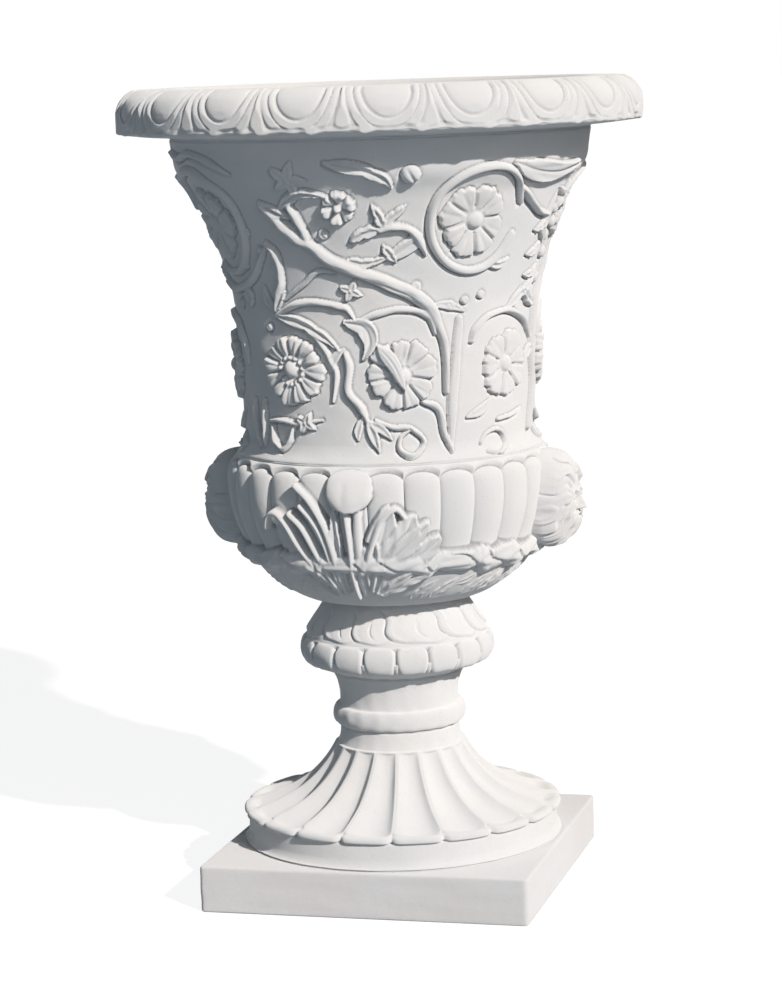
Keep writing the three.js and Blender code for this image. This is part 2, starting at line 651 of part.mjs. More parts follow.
function bellGeometry() {
  const outline = bellFace(path([BOWL_MOUTH_RADIUS, 0]));
  outline.lineTo(BELL_TOP_RADIUS - BELL_WALL, BELL_HEIGHT);
  outline.lineTo(BELL_FLARE_RADIUS - BELL_WALL, BELL_FLARE);
  outline.quadraticCurveTo(
    BELL_MIDDLE_RADIUS - BELL_WALL, (BELL_MIDDLE + BELL_FLARE) / 2,
    BELL_MIDDLE_RADIUS - BELL_WALL, BELL_MIDDLE,
  );
  outline.lineTo(BOWL_MOUTH_RADIUS, 0);
  const holes = [
    ...dowelHoles(bowlDowelCircle(), 0, DOWEL_LENGTH - JOINT),
    ...dowelHoles(rimDowelCircle(), BELL_HEIGHT, DOWEL_LENGTH - JOINT),
  ];
  return cut(join([turned(outline, PLAIN_COLUMNS), ...bellCarvings()]), holes);
}

// Eggs on the rim's round face, with a dart between each two. Its angle is counted from an egg's middle.
function eggCarving(angle, point) {
  if (point.x < RIM_RADIUS - RIM_HEIGHT / 2 || point.y <= RIM_DRIP) return 0;
  const side = Math.abs(2 * acrossCell(angle, EGG_COUNT) - 1);
  const up = (point.y - RIM_DRIP) / (RIM_HEIGHT - RIM_DRIP);
  const reach = Math.hypot(side / EGG_WIDTH, Math.max(EGG_MIDDLE - up, 0) / EGG_LENGTH);
  const egg = EGG_RELIEF * Math.sqrt(Math.max(1 - reach ** 2, 0)) - EGG_GROUND;
  const dart = DART_RELIEF * rise(reach, 1, 1.4);
  return Math.max(egg, dart - DART_RELIEF / 2) * rise(1 - up, 0, 0.1);
}

function rimGeometry() {
  const inner = BELL_TOP_RADIUS - BELL_WALL;
  const lipOuter = RIM_RADIUS - 0.55 * RIM_HEIGHT;
  const lipInner = lipOuter - RIM_LIP_WIDTH;
  const outline = path([inner, 0]);
  outline.lineTo(BELL_TOP_RADIUS, 0);
  outline.lineTo(RIM_RADIUS - 3, RIM_DRIP);
  outline.bezierCurveTo(
    RIM_RADIUS + 3, RIM_DRIP + 0.4 * (RIM_HEIGHT - RIM_DRIP),
    RIM_RADIUS - 4, 0.93 * RIM_HEIGHT,
    lipOuter, RIM_HEIGHT,
  );
  outline.lineTo(lipInner, RIM_HEIGHT);
  outline.lineTo(lipInner - RIM_MOUTH_BEVEL, RIM_HEIGHT - RIM_MOUTH_BEVEL);
  outline.lineTo(inner, RIM_HEIGHT / 3).lineTo(inner, 0);
  const holes = dowelHoles(rimDowelCircle(), 0, DOWEL_LENGTH - JOINT);
  const blank = turned(outline, EGG_COUNT * COLUMNS_PER_EGG, eggCarving);
  return cut(blank.rotateZ(THREE.MathUtils.degToRad(EGG_TURN)), holes);
}

// Masks, made facing +X in the bowl's own frame

// How far a mask's face stands out of a plain dome. across and up run from -1 to 1.
function faceRelief(across, up) {
  const hump = (x, y, width, height) => Math.exp(-(((across - x) / width) ** 2) - ((up - y) / height) ** 2);
  const nose = 9 * hump(0, -0.02, 0.12, 0.17) + 5 * hump(0, -0.14, 0.16, 0.08);
  const brow = 4 * hump(0, 0.22, 0.5, 0.08);
  const sockets = -6 * (hump(-0.28, 0.1, 0.14, 0.08) + hump(0.28, 0.1, 0.14, 0.08));
  const cheeks = 2 * (hump(-0.4, -0.1, 0.16, 0.14) + hump(0.4, -0.1, 0.16, 0.14));
  const lips = 4 * hump(0, -0.3, 0.2, 0.05);
  return nose + brow + sockets + cheeks + lips;
}

// Locks of hair and beard that run out from the face.
function hairRelief(across, up) {
  const reach = Math.hypot(across / 0.62, (up + 0.02) / 0.52);
  const locks = Math.cos(MASK_LOCKS * Math.atan2(across, up));
  return rise(reach, 0.85, 1.15) * (MASK_HAIR_RELIEF + MASK_LOCK_RELIEF * locks);
}

function maskMiddle() {
  return BOWL_HEIGHT - MASK_DROP - MASK_HEIGHT / 2;
}

// A blunt head: a ball squared a little, with its face on +X.
function maskBlank() {
  const geometry = new THREE.SphereGeometry(1, MASK_COLUMNS, MASK_ROWS).rotateZ(Math.PI / 2);
  const position = geometry.attributes.position;
  const squared = (value) => Math.sign(value) * Math.abs(value) ** MASK_SQUARENESS;
  const root = MASK_REACH - MASK_DEPTH;
  for (let i = 0; i < position.count; i++) {
    const [x, y, z] = [position.getX(i), position.getY(i), position.getZ(i)].map(squared);
    const depth = x > 0 ? MASK_DEPTH - MASK_FACE_SETBACK + faceRelief(y, z) + hairRelief(y, z) : MASK_DEPTH / 2;
    position.setXYZ(i, root + x * depth, (y * MASK_WIDTH) / 2, maskMiddle() + (z * MASK_HEIGHT) / 2);
  }
  return geometry;
}

// The bowl's outside, grown by the gap that a mask keeps to it.
function bowlForMask() {
  const outline = bowlOutline(path([0, -JOINT]));
  outline.lineTo(0, BOWL_HEIGHT + JOINT);
  const grown = (angle, point) => bowlCarving(angle, point) + SEAT_GAP;
  return turned(outline, GADROON_COUNT * COLUMNS_PER_GADROON, grown, BELLY_STEPS);
}

function maskDowelCentre() {
  return BOWL_RADIUS;
}

function maskDowelHeights() {
  return [-0.5, 0.5].map((share) => maskMiddle() + share * MASK_DOWEL_SPACING);
}

function maskDowel(radius, length, height) {
  return bar(radius, -length / 2, length / 2)
    .rotateY(Math.PI / 2)
    .translate(maskDowelCentre(), 0, height);
}

function maskDowelHolesOnOneSide() {
  const length = MASK_DOWEL_LENGTH + 2 * HOLE_END_GAP;
  return maskDowelHeights().map((height) => maskDowel(DOWEL_RADIUS + PIN_GAP, length, height));
}

function maskDowelHoles() {
  return [0, Math.PI].flatMap((turn) => maskDowelHolesOnOneSide().map((hole) => hole.rotateZ(turn)));
}

function maskGeometry() {
  return cut(maskBlank(), [bowlForMask(), ...maskDowelHolesOnOneSide()]);
}

// Beds, rod, nuts and washers

function bedGeometry(outer, inner) {
  return ring(outer - BED_SETBACK, inner, 0, BED_THICKNESS);
}

function nutGeometry() {
  const hexagon = new THREE.CylinderGeometry(NUT_WIDTH / Math.sqrt(3), NUT_WIDTH / Math.sqrt(3), NUT_HEIGHT, 6)
    .rotateX(Math.PI / 2)
    .translate(0, 0, NUT_HEIGHT / 2);
  return cut(hexagon, [bar(ROD_RADIUS + PIN_GAP, -NUT_HEIGHT, 2 * NUT_HEIGHT)]);
}

function washerGeometry(thickness) {
  return ring(WASHER_RADIUS, ROD_RADIUS + PIN_GAP, 0, thickness, SMALL_COLUMNS);
}

function rodGeometry(length) {
  const chamfer = ROD_RADIUS / 5;
  const outline = path([0, 0]);
  outline.lineTo(ROD_RADIUS - chamfer, 0).lineTo(ROD_RADIUS, chamfer);
  outline.lineTo(ROD_RADIUS, length - chamfer).lineTo(ROD_RADIUS - chamfer, length).lineTo(0, length);
  return turned(outline, SMALL_COLUMNS);
}

function dowelGeometry(length) {
  return bar(DOWEL_RADIUS, -length / 2, length / 2);
}

// Assembly

const vase = new THREE.Group();

function add(name, geometry, material, height, parent = vase) {
  const mesh = new THREE.Mesh(geometry, material);
  mesh.name = name;
  mesh.position.z = height;
  parent.add(mesh);
  return mesh;
}

function addCastings() {
  add("plinth", plinthGeometry(), stone, 0);
  add("foot", footGeometry(), stone, FOOT_BASE);
  add("stem", stemGeometry(), stone, STEM_BASE);
  add("knop", knopGeometry(), stone, KNOP_BASE);
  add("bowl", bowlGeometry(), stone, BOWL_BASE);
  add("bell", bellGeometry(), stone, BELL_BASE);
  add("rim", rimGeometry(), stone, RIM_BASE);
}

function addBeds() {
  const spigotHole = SPIGOT_RADIUS + SPIGOT_GAP;
  const beds = [
    ["plinth_bed", STEP_RADIUS, spigotHole, FOOT_BASE],
    ["foot_bed", FOOT_TOP_RADIUS, spigotHole, STEM_BASE],
    ["stem_bed", STEM_TOP_RADIUS, spigotHole, KNOP_BASE],
    ["knop_bed", KNOP_TOP_RADIUS, spigotHole, BOWL_BASE],
    ["bowl_bed", SHOULDER_RADIUS, BOWL_MOUTH_RADIUS + BED_SETBACK, BELL_BASE],
    ["bell_bed", BELL_TOP_RADIUS, BELL_TOP_RADIUS - BELL_WALL + BED_SETBACK, RIM_BASE],
  ];
  for (const [name, outer, inner, castingBase] of beds) {
    const isDowelled = name === "bowl_bed" || name === "bell_bed";
    const circle = name === "bowl_bed" ? bowlDowelCircle() : rimDowelCircle();
    const bed = bedGeometry(outer, inner);
    const holes = isDowelled ? dowelHoles(circle, 0, DOWEL_LENGTH) : [];
    add(name, isDowelled ? cut(bed, holes) : bed, mortar, castingBase - SEAT_GAP - BED_THICKNESS);
  }
}

function addTieRod() {
  const lowerSeat = NUT_POCKET_DEPTH - SEAT_GAP;
  const lowerNut = lowerSeat - WASHER_THICKNESS - SEAT_GAP - NUT_HEIGHT;
  const seal = BOWL_BASE + BOWL_FLOOR + SEAT_GAP;
  const upperWasher = seal + SEAL_THICKNESS + SEAT_GAP;
  const upperNut = upperWasher + WASHER_THICKNESS + SEAT_GAP;
  const rodBase = lowerNut - ROD_END;
  const rodTop = upperNut + NUT_HEIGHT + ROD_END;
  add("tie_rod", rodGeometry(rodTop - rodBase), steel, rodBase);
  add("lower_washer", washerGeometry(WASHER_THICKNESS), steel, lowerSeat - WASHER_THICKNESS);
  add("lower_nut", nutGeometry(), steel, lowerNut);
  add("bowl_seal", washerGeometry(SEAL_THICKNESS), rubber, seal);
  add("upper_washer", washerGeometry(WASHER_THICKNESS), steel, upperWasher);
  add("upper_nut", nutGeometry(), steel, upperNut);
}

function addDowels() {
  const rings = [
    ["bell_dowel", bowlDowelCircle(), BELL_BASE],
    ["rim_dowel", rimDowelCircle(), RIM_BASE],
  ];
  for (const [name, circle, face] of rings) {
    dowelAngles().forEach((angle, i) => {
      const dowel = add(`${name}_${i + 1}`, dowelGeometry(DOWEL_LENGTH), steel, face - JOINT / 2);
      dowel.position.x = circle * Math.sin(angle);
      dowel.position.y = -circle * Math.cos(angle);
    });
  }
}

function addMasks() {
  [["left", Math.PI], ["right", 0]].forEach(([side, turn]) => {
    const group = new THREE.Group();
    group.rotation.z = turn;
    group.position.z = BOWL_BASE;
    vase.add(group);
    add(`${side}_mask`, maskGeometry(), stone, 0, group);
    maskDowelHeights().forEach((height, i) => {
      const dowel = add(`${side}_mask_dowel_${i + 1}`, dowelGeometry(MASK_DOWEL_LENGTH), steel, height, group);
      dowel.position.x = maskDowelCentre();
      dowel.rotation.y = Math.PI / 2;
    });
  });
}

addCastings();
addBeds();
addTieRod();
addDowels();
addMasks();

export default vase;
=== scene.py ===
# The looks of a campana vase of white cast stone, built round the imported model.
# Lengths are in millimetres until a mesh is made, and angles run round the axis from the front, -Y,
# towards the right, +X.

import math

import bpy
import numpy as np
from mathutils import Matrix, Vector


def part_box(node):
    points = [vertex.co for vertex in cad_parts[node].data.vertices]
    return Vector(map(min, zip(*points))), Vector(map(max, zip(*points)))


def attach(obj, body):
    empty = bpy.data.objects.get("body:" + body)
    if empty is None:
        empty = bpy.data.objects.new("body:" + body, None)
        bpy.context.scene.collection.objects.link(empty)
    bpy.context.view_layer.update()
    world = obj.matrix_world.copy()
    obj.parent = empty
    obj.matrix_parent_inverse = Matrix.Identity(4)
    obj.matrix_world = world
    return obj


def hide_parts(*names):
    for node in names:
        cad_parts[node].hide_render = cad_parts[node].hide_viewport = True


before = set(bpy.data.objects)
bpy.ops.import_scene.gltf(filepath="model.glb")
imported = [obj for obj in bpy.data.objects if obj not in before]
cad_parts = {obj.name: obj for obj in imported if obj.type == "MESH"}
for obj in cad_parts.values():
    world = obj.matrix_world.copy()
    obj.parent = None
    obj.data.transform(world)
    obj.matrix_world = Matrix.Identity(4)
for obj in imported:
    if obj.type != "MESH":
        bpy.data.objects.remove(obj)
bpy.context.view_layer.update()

MM = 0.001
FINENESS = 1.0

# Camera
CAMERA_AZIMUTH = 15.2  # degrees from the front towards the right
CAMERA_DISTANCE = 2.937  # metres from the vase's axis
CAMERA_HEIGHT = 0.830
CAMERA_PITCH = 8.61  # degrees below the horizon
CAMERA_YAW = -0.03
CAMERA_ROLL = -1.95
FOCAL_SHARE = 2.968  # focal length over the long side of the picture
SENSOR = 36.0

# Light
SUN_AZIMUTH = 50.0
SUN_ELEVATION = 31.0
SUN_STRENGTH = 3.1
SUN_ANGLE = 1.2
SUN_COLOUR = (1.0, 0.96, 0.925)
SKY_STRENGTH = 0.03
SKY_COLOUR = (0.5, 0.78, 1.0)
SOFT_LAMPS = [  # name, azimuth, elevation, distance, height aimed at, size, power, colour
    ("softbox", 40.0, 22.0, 3.0, 0.45, 1.6, 9.0, (1.0, 1.0, 1.0)),
    ("front_fill", 0.0, 4.0, 2.5, 0.3, 1.0, 5.5, (0.66, 0.84, 1.0)),
]

# Forms shared with the solids
BORE = 9.5
SPIGOT = 34.0
SPIGOT_RISE = 8.0
SOCKET = 34.6
SOCKET_DEPTH = 7.0

# Carving: the grooves beside raised forms, the run of a stem, and what counts as raised or hollow,
# where hollows get painted shade in the stone's colour
HALF_TURN = 180.0  # the bowl's leaves and the bell's frieze repeat after this
MOAT_DEPTH = 1.7
MOAT_WIDTH = 1.7
ROSETTE_MOAT = 1.3 * MOAT_DEPTH
CUT_DEPTH = 4.6
CUT_STEPS = round(5 * FINENESS)
STEM_STEP = 17.0  # rough distance between two places of a stem
STEM_TAPER = [0, 0.2, 0.75, 1]  # shares of the way between which a stem has its full width
RAISED = 0.35  # what stands out more than this is a carved form, not the ground
SWELL_SHARE = 0.16  # the ground swells by this share of the forms on it, blurred over so many steps
SWELL_BLUR = 12
# Hollows of the carving get painted shade, a darker colour mixed into the stone's, set by the next two
# numbers
HOLLOW_BLUR = 4  # grid steps over which a hollow is told from what lies round it
HOLLOW_DEPTH = 1.5  # depth at which a hollow is darkest

# Unevenness of the castings
RIPPLE_WAVES = 26  # fewer waves than this run round the vase
RIPPLE_PITCH = (18, 120)  # shortest and longest wave up the face


# Outlines

def bezier(points, count):
    """Points of a Bezier curve of any degree, without its first point."""
    t = np.linspace(0, 1, count + 1)[1:, None]
    level = [np.asarray(p, float)[None, :] for p in points]
    while len(level) > 1:
        level = [a * (1 - t) + b * t for a, b in zip(level, level[1:])]
    return level[0]


def profile(start, *pieces, spacing=1.0):
    """An open outline of (radius, height). Each piece is the further control points of a curve."""
    points = [np.array([start], float)]
    step = spacing / FINENESS
    for piece in pieces:
        controls = [points[-1][-1]] + list(piece)
        length = sum(math.dist(a, b) for a, b in zip(controls, controls[1:]))
        points.append(bezier(controls, max(1, round(length / step))))
    return np.concatenate(points)


def closing(face, *corners, spacing=8.0):
    """The outline that runs from a face's end through corners back to its start."""
    path = profile(face[-1], *[[corner] for corner in corners], [face[0]], spacing=spacing)
    return path[1:-1]


def outline_normals(points):
    ahead = np.roll(points, -1, 0) - points
    behind = points - np.roll(points, 1, 0)
    ahead /= np.linalg.norm(ahead, axis=1)[:, None]
    behind /= np.linalg.norm(behind, axis=1)[:, None]
    along = ahead + behind
    along /= np.maximum(np.linalg.norm(along, axis=1), 1e-9)[:, None]
    return np.stack([along[:, 1], -along[:, 0]], 1)


# Meshes

def grid_mesh(name, points, wraps_rows):
    """A mesh from a grid of points (rows, columns, 3) in millimetres that closes round its columns."""
    rows, columns, _ = points.shape
    mesh = bpy.data.meshes.new(name)
    index = np.arange(rows * columns).reshape(rows, columns)
    low = index if wraps_rows else index[:-1]
    high = np.roll(index, -1, 0) if wraps_rows else index[1:]
    quads = np.stack([low, np.roll(low, -1, 1), np.roll(high, -1, 1), high], -1).reshape(-1, 4)
    caps = [] if wraps_rows else [index[0, ::-1], index[-1]]
    corners = np.concatenate([quads.ravel(), *caps])
    starts = list(range(0, quads.size, 4)) + [quads.size + i * columns for i in range(len(caps))]
    mesh.vertices.add(rows * columns)
    mesh.vertices.foreach_set("co", (points * MM).astype(np.float32).ravel())
    mesh.loops.add(len(corners))
    mesh.loops.foreach_set("vertex_index", corners.astype(np.int32))
    mesh.polygons.add(len(starts))
    mesh.polygons.foreach_set("loop_start", np.array(starts, np.int32))
    mesh.update(calc_edges=True)
    add_grid_uv(mesh, points, wraps_rows)
    mesh.validate()
    return mesh


def add_grid_uv(mesh, points, wraps_rows):
    """A UV map that unrolls the grid, with its rows spread by their length."""
    rows, columns, _ = points.shape
    steps = np.linalg.norm(np.diff(points, axis=0, append=points[:1]), axis=2).mean(1)
    height = np.concatenate([[0], np.cumsum(steps)])
    height /= height[-1] if wraps_rows else height[-2]
    last = rows if wraps_rows else rows - 1
    i, j = np.meshgrid(np.arange(last), np.arange(columns), indexing="ij")
    across = np.stack([j, j + 1, j + 1, j], -1) / columns
    up = np.stack([height[i], height[i], height[i + 1], height[i + 1]], -1)
    layer = mesh.uv_layers.new(name="OFBake")
    places = np.zeros((len(mesh.loops), 2), np.float32)
    places[:across.size] = np.stack([across, up], -1).reshape(-1, 2)
    layer.data.foreach_set("uv", places.ravel())


def add_attribute(mesh, name, values):
    attribute = mesh.attributes.new(name, "FLOAT", "POINT")
    attribute.data.foreach_set("value", np.asarray(values, np.float32).ravel())


def add_object(name, data):
    added = bpy.data.objects.new(name, data)
    bpy.context.scene.collection.objects.link(added)
    return added


def add_piece(name, mesh, material, nodes):
    """Puts a mesh in the scene as the piece that stands for some solids."""
    mesh.materials.append(material)
    mesh.shade_smooth()
    piece = add_object(name, mesh)
    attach(piece, "root")
    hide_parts(*nodes)
    REPLACED.update(nodes)


def turned_mesh(name, face, back, columns, base, carve=None, pull=None):
    """A turned mesh. face and back are outlines of (radius, height) that close on each other.
    carve(angle, radius, height, along) is how far the face stands out along its normal, and pull, which
    takes the same, how far it moves towards the axis."""
    whole = np.concatenate([face, back])
    normals = outline_normals(whole)
    angle = np.arange(columns) * 360.0 / columns
    rows = len(face)
    along = np.concatenate([[0], np.cumsum(np.linalg.norm(np.diff(face, axis=0), axis=1))])
    out = np.zeros((len(whole), columns))
    inwards = np.zeros((len(whole), columns))
    grids = np.broadcast_arrays(angle[None, :], face[:, :1], face[:, 1:], along[:, None])
    if carve:
        out[:rows] = carve(*grids)
    if pull:
        inwards[:rows] = pull(*grids)
    radius = whole[:, :1] + normals[:, :1] * out - inwards
    height = whole[:, 1:] + normals[:, 1:] * out + base
    turn = np.radians(angle)[None, :]
    points = np.stack([radius * np.sin(turn), -radius * np.cos(turn), height], -1)
    mesh = grid_mesh(name, points, wraps_rows=True)
    # How deep each place lies in a hollow, kept for the painted shade in the stone's colour
    hollow_shade = np.zeros_like(out)
    hollow_shade[:rows] = hollows(out[:rows], HOLLOW_DEPTH)
    add_attribute(mesh, "hollow_shade", hollow_shade)
    return mesh


# Shapes of carving

def ramp(value, low, high):
    """0 before low, 1 after high and smooth between them."""
    t = np.clip((value - low) / (high - low), 0, 1)
    return t * t * (3 - 2 * t)


def dome(share):
    """A round section: 1 at 0, falling to 0 at 1."""
    return np.sqrt(np.clip(1 - share ** 2, 0, 1))


def fall(value, width):
    """1 at 0, falling smoothly on both sides over about the width."""
    return np.exp(-((value / width) ** 2))


def side_of_cell(angle, count, offset=0.0):
    """-1 to 1 across each of count equal cells, with the middle of one at the offset."""
    cells = (angle - offset) * count / 360 + 0.5
    return 2 * (cells - np.floor(cells)) - 1


def number_of_cell(angle, count, offset=0.0):
    return np.floor((angle - offset) * count / 360 + 0.5).astype(int) % count


def blurred(values, size):
    """A blur over a few grid steps that wraps round the columns."""
    result = values
    for _ in range(size):
        result = (np.roll(result, 1, 1) + 2 * result + np.roll(result, -1, 1)) / 4
        padded = np.concatenate([result[:1], result, result[-1:]])
        result = (padded[:-2] + 2 * padded[1:-1] + padded[2:]) / 4
    return result


def hollows(form, deepest):
    """0 to 1 for how far each place of a carved face lies below what is round it, which sets the
    painted shade there.
    """
    return np.clip(blurred(form, HOLLOW_BLUR) - form, 0, deepest) / deepest


def ripple(angle, along, seed, size, count=14, fold=1):
    """Slow unevenness of a hand-finished casting, at most about the given size in millimetres, the same
    on each fold of the round."""
    draw = np.random.default_rng(seed)
    total = np.zeros(np.broadcast(angle, along).shape)
    for _ in range(count):
        waves = draw.integers(0, RIPPLE_WAVES // fold) * fold
        pitch = draw.uniform(*RIPPLE_PITCH)
        phase = draw.uniform(0, 2 * math.pi, 2)
        upwards = np.sin(2 * math.pi * along / pitch + phase[1])
        total += np.sin(np.radians(angle) * waves + phase[0]) * upwards
    return size * total / math.sqrt(count)


def uneven(seed, size, carved=0.0):
    """Carving that adds the casting's unevenness to what is carved already."""
    def carve(angle, radius, height, along):
        return carved + ripple(angle, along, seed, size)
    return carve


def spline(places, pieces=8):
    """A smooth line through places, with the share of its way at each point."""
    p = np.asarray(places, float)
    p = np.concatenate([[2 * p[0] - p[1]], p, [2 * p[-1] - p[-2]]])
    t = np.linspace(0, 1, pieces, endpoint=False)[:, None]
    line = []
    for a, b, c, d in zip(p, p[1:], p[2:], p[3:]):
        line.append(0.5 * (2 * b + (c - a) * t + (2 * a - 5 * b + 4 * c - d) * t ** 2
                           + (3 * b - a - 3 * c + d) * t ** 3))
    line = np.concatenate(line + [p[-2:-1]])
    return line, np.linspace(0, 1, len(line))


class Relief:
    """Carving over a turned face. Places are (degrees round from the front, height), and what is carved
    repeats after the period."""

    def __init__(self, face, columns, period):
        self.period = period
        self.columns = columns
        self.angle = np.arange(columns) * period / columns
        self.radius = face[:, 0]
        self.height = face[:, 1]
        steps = np.linalg.norm(np.diff(face, axis=0), axis=1)
        self.up = np.concatenate([[0], np.cumsum(steps)])
        self.raised = np.zeros((len(face), columns))
        self.sunk = np.zeros((len(face), columns))

    def lift(self, height):
        """Distance up the face at a height."""
        return np.interp(height, self.height, self.up)

    def near(self, places, reach):
        """Rows and columns within reach of places, each as (angle, distance up the face)."""
        low, high = places[:, 1].min() - reach, places[:, 1].max() + reach
        rows = np.nonzero((self.up >= low) & (self.up <= high))[0]
        if not len(rows):
            return None
        spread = math.degrees(reach / self.radius[rows].min())
        first = math.floor((places[:, 0].min() - spread) / self.period * self.columns)
        last = math.ceil((places[:, 0].max() + spread) / self.period * self.columns)
        columns = np.arange(first, last + 1)
        angle = columns * self.period / self.columns
        return rows, columns % self.columns, angle

    def line_distances(self, line, reach):
        """For the cells near a line: distance from it, side of it, share of the way along it."""
        found = self.near(line, reach)
        if found is None:
            return None
        rows, columns, angle = found
        scale = np.radians(1) * self.radius[rows][:, None]
        up = self.up[rows][:, None]
        best = np.full((len(rows), len(columns)), 1e9)
        side = np.zeros_like(best)
        share = np.zeros_like(best)
        count = len(line) - 1
        for i, (a, b) in enumerate(zip(line, line[1:])):
            ax, bx = (a[0] - angle) * scale, (b[0] - angle) * scale
            ay, by = a[1] - up, b[1] - up
            dx, dy = bx - ax, by - ay
            t = np.clip(-(ax * dx + ay * dy) / (dx * dx + dy * dy + 1e-9), 0, 1)
            px, py = ax + t * dx, ay + t * dy
            distance = np.hypot(px, py)
            closer = distance < best
            best = np.where(closer, distance, best)
            side = np.where(closer, np.sign(dx * py - dy * px), side)
            share = np.where(closer, (i + t) / count, share)
        return np.ix_(rows, columns), best, side, share

    def raise_to(self, cells, height):
        self.raised[cells] = np.maximum(self.raised[cells], height)

    def sink_to(self, cells, depth):
        self.sunk[cells] = np.maximum(self.sunk[cells], depth)

    def moat(self, cells, beyond, depth=MOAT_DEPTH):
        """A groove round a form, by the distance beyond the form's edge."""
        self.sink_to(cells, depth * fall(np.maximum(beyond, 0), MOAT_WIDTH))

    def line(self, places):
        """A smooth line of (angle, distance up the face) through places of (angle, height)."""
        return spline([(angle, self.lift(height)) for angle, height in places])[0]

    def stem(self, places, width, relief, ends=(0.7, 0.35), knots=0.0):
        """A round stem that narrows towards its ends, with knots along it."""
        found = self.line_distances(self.line(places), 1.3 * width)
        if found is None:
            return
        cells, distance, side, share = found
        length = STEM_STEP * len(places)
        bumps = np.sin(0.11 * length * share + width) + 0.6 * np.sin(0.27 * length * share + 2 * side)
        taper = np.interp(share, STEM_TAPER, [ends[0], 1, 1, ends[1]])
        half = width / 2 * taper * (1 + knots * bumps)
        height = relief * np.sqrt(2 * half / width) * (1 + 0.5 * knots * bumps)
        self.raise_to(cells, height * dome(distance / half) ** 0.8)
        self.moat(cells, distance - half)

    def leaf(self, places, width, relief, lobes=3, notch=0.35, cup=0.45, tip=0.75):
        """A leaf along its midrib, cupped and lobed. A low tip is blunt and a high one pointed."""
        found = self.line_distances(self.line(places), width)
        if found is None:
            return
        cells, distance, side, share = found
        outline = np.sin(math.pi * np.clip(share, 0.02, 1) ** 0.75) ** tip
        lobe = np.abs(np.sin(math.pi * lobes * share + 0.4 * side))
        half = np.maximum(width / 2 * outline * (1 - notch * (1 - lobe) ** 2), 1e-3)
        across = distance / half
        veins = 0.1 * np.cos(2 * math.pi * (lobes * 2 * share - across))
        rib = -0.22 * fall(distance, 1.1)
        body = relief * (1 - cup + cup * across ** 1.5 + veins * across + rib) * (0.75 + 0.35 * share)
        self.raise_to(cells, np.where(across < 1, body, 0))
        self.moat(cells, distance - half)

    def polar(self, place, reach):
        """For the cells near a place: distance and direction from it, counted from straight up."""
        angle0, up0 = place[0], self.lift(place[1])
        rows, columns, angle = self.near(np.array([[angle0, up0]]), reach)
        across = np.radians(angle - angle0) * self.radius[rows][:, None]
        up = np.broadcast_to((self.up[rows] - up0)[:, None], across.shape)
        return np.ix_(rows, columns), np.hypot(across, up), np.arctan2(across, up)

    def rosette(self, place, radius, relief, petals, turn=0.0, boss=0.24):
        """An open flower: cupped, ruffled petals of unlike widths round a boss."""
        cells, distance, way = self.polar(place, radius * 1.35)
        draw = np.random.default_rng(petals + round(radius + turn))
        turns = (np.arange(petals) + draw.uniform(-0.22, 0.22, petals)) * 360 / petals + turn
        offsets = (np.degrees(way)[..., None] - turns + 180) % 360 - 180
        order = np.argsort(np.abs(offsets), -1)
        nearest = np.take_along_axis(offsets, order[..., :1], -1)[..., 0]
        second = np.take_along_axis(offsets, order[..., 1:2], -1)[..., 0]
        petal = order[..., 0]
        gap = np.radians((np.abs(second) - np.abs(nearest)) / 2) * distance
        side = nearest * petals / 180
        frill = 0.02 * np.sin(way * 17) + 0.015 * np.sin(way * 31 + 1)
        edge = radius * draw.uniform(0.88, 1.04, petals)[petal] * (1 - 0.1 * np.abs(side) ** 3 + frill)
        share = distance / edge
        form = 0.4 + 0.6 * ramp(share, 0.25, 0.8) - 0.12 * ramp(share, 0.88, 1.0) + 0.12 * side
        form *= draw.uniform(0.72, 1.1, petals)[petal]
        form -= 0.8 * fall(gap, 1.3) * ramp(share, 0.25, 0.45)
        form -= 0.13 * fall(side - 0.1, 0.2) * ramp(share, 0.35, 0.6)
        flower = np.where(share < 1, relief * np.maximum(form, 0.05), 0)
        middle = distance / (radius * boss)
        flower = np.where(middle < 1.3, np.minimum(flower, 0.15 * relief), flower)
        flower = np.maximum(flower, 1.15 * relief * dome(middle))
        self.raise_to(cells, flower)
        self.moat(cells, distance - edge, ROSETTE_MOAT)

    def stamens(self, place, radius, count, size, relief):
        """A ring of small round dots."""
        for turn in np.arange(count) * 2 * math.pi / count:
            self.dot(self.beside(place, radius, turn), size, relief)

    def beside(self, place, distance, way):
        """The place at a distance and direction, counted from straight up, from another."""
        per_degree = math.radians(np.interp(place[1], self.height, self.radius))
        return place[0] + distance * math.sin(way) / per_degree, place[1] + distance * math.cos(way)

    def dot(self, place, radius, relief):
        cells, distance, _ = self.polar(place, radius * 1.5)
        self.raise_to(cells, relief * dome(distance / radius))

    def pit(self, place, radius, depth):
        """A drilled hole, which also cuts what is raised there."""
        cells, distance, _ = self.polar(place, radius * 1.5)
        inside = distance < radius
        self.raised[cells] = np.where(inside, 0, self.raised[cells])
        self.sink_to(cells, depth * dome(distance / radius))

    def undercut(self):
        """A deep cut along the lower left of what is raised."""
        raised = self.raised > RAISED
        cut = np.zeros(self.raised.shape)
        for step in range(1, CUT_STEPS):
            moved = np.roll(raised, -step, 1)
            moved[:-step] = moved[step:]
            cut = np.maximum(cut, CUT_DEPTH * (1 - step / CUT_STEPS) * moved)
        self.sunk += np.where(raised, 0, cut)

    def surface(self, ground=0.0):
        """How far the finished carving stands out."""
        raised = blurred(self.raised, 1)
        swell = SWELL_SHARE * blurred(self.raised, SWELL_BLUR)
        level = ground - blurred(self.sunk, 1) + swell
        return np.where(raised > RAISED, np.maximum(raised + ground, level), level)

    def all_round(self, ground=0.0):
        """The finished carving, repeated all the way round."""
        return np.tile(self.surface(ground), (1, round(360 / self.period)))


# Pieces

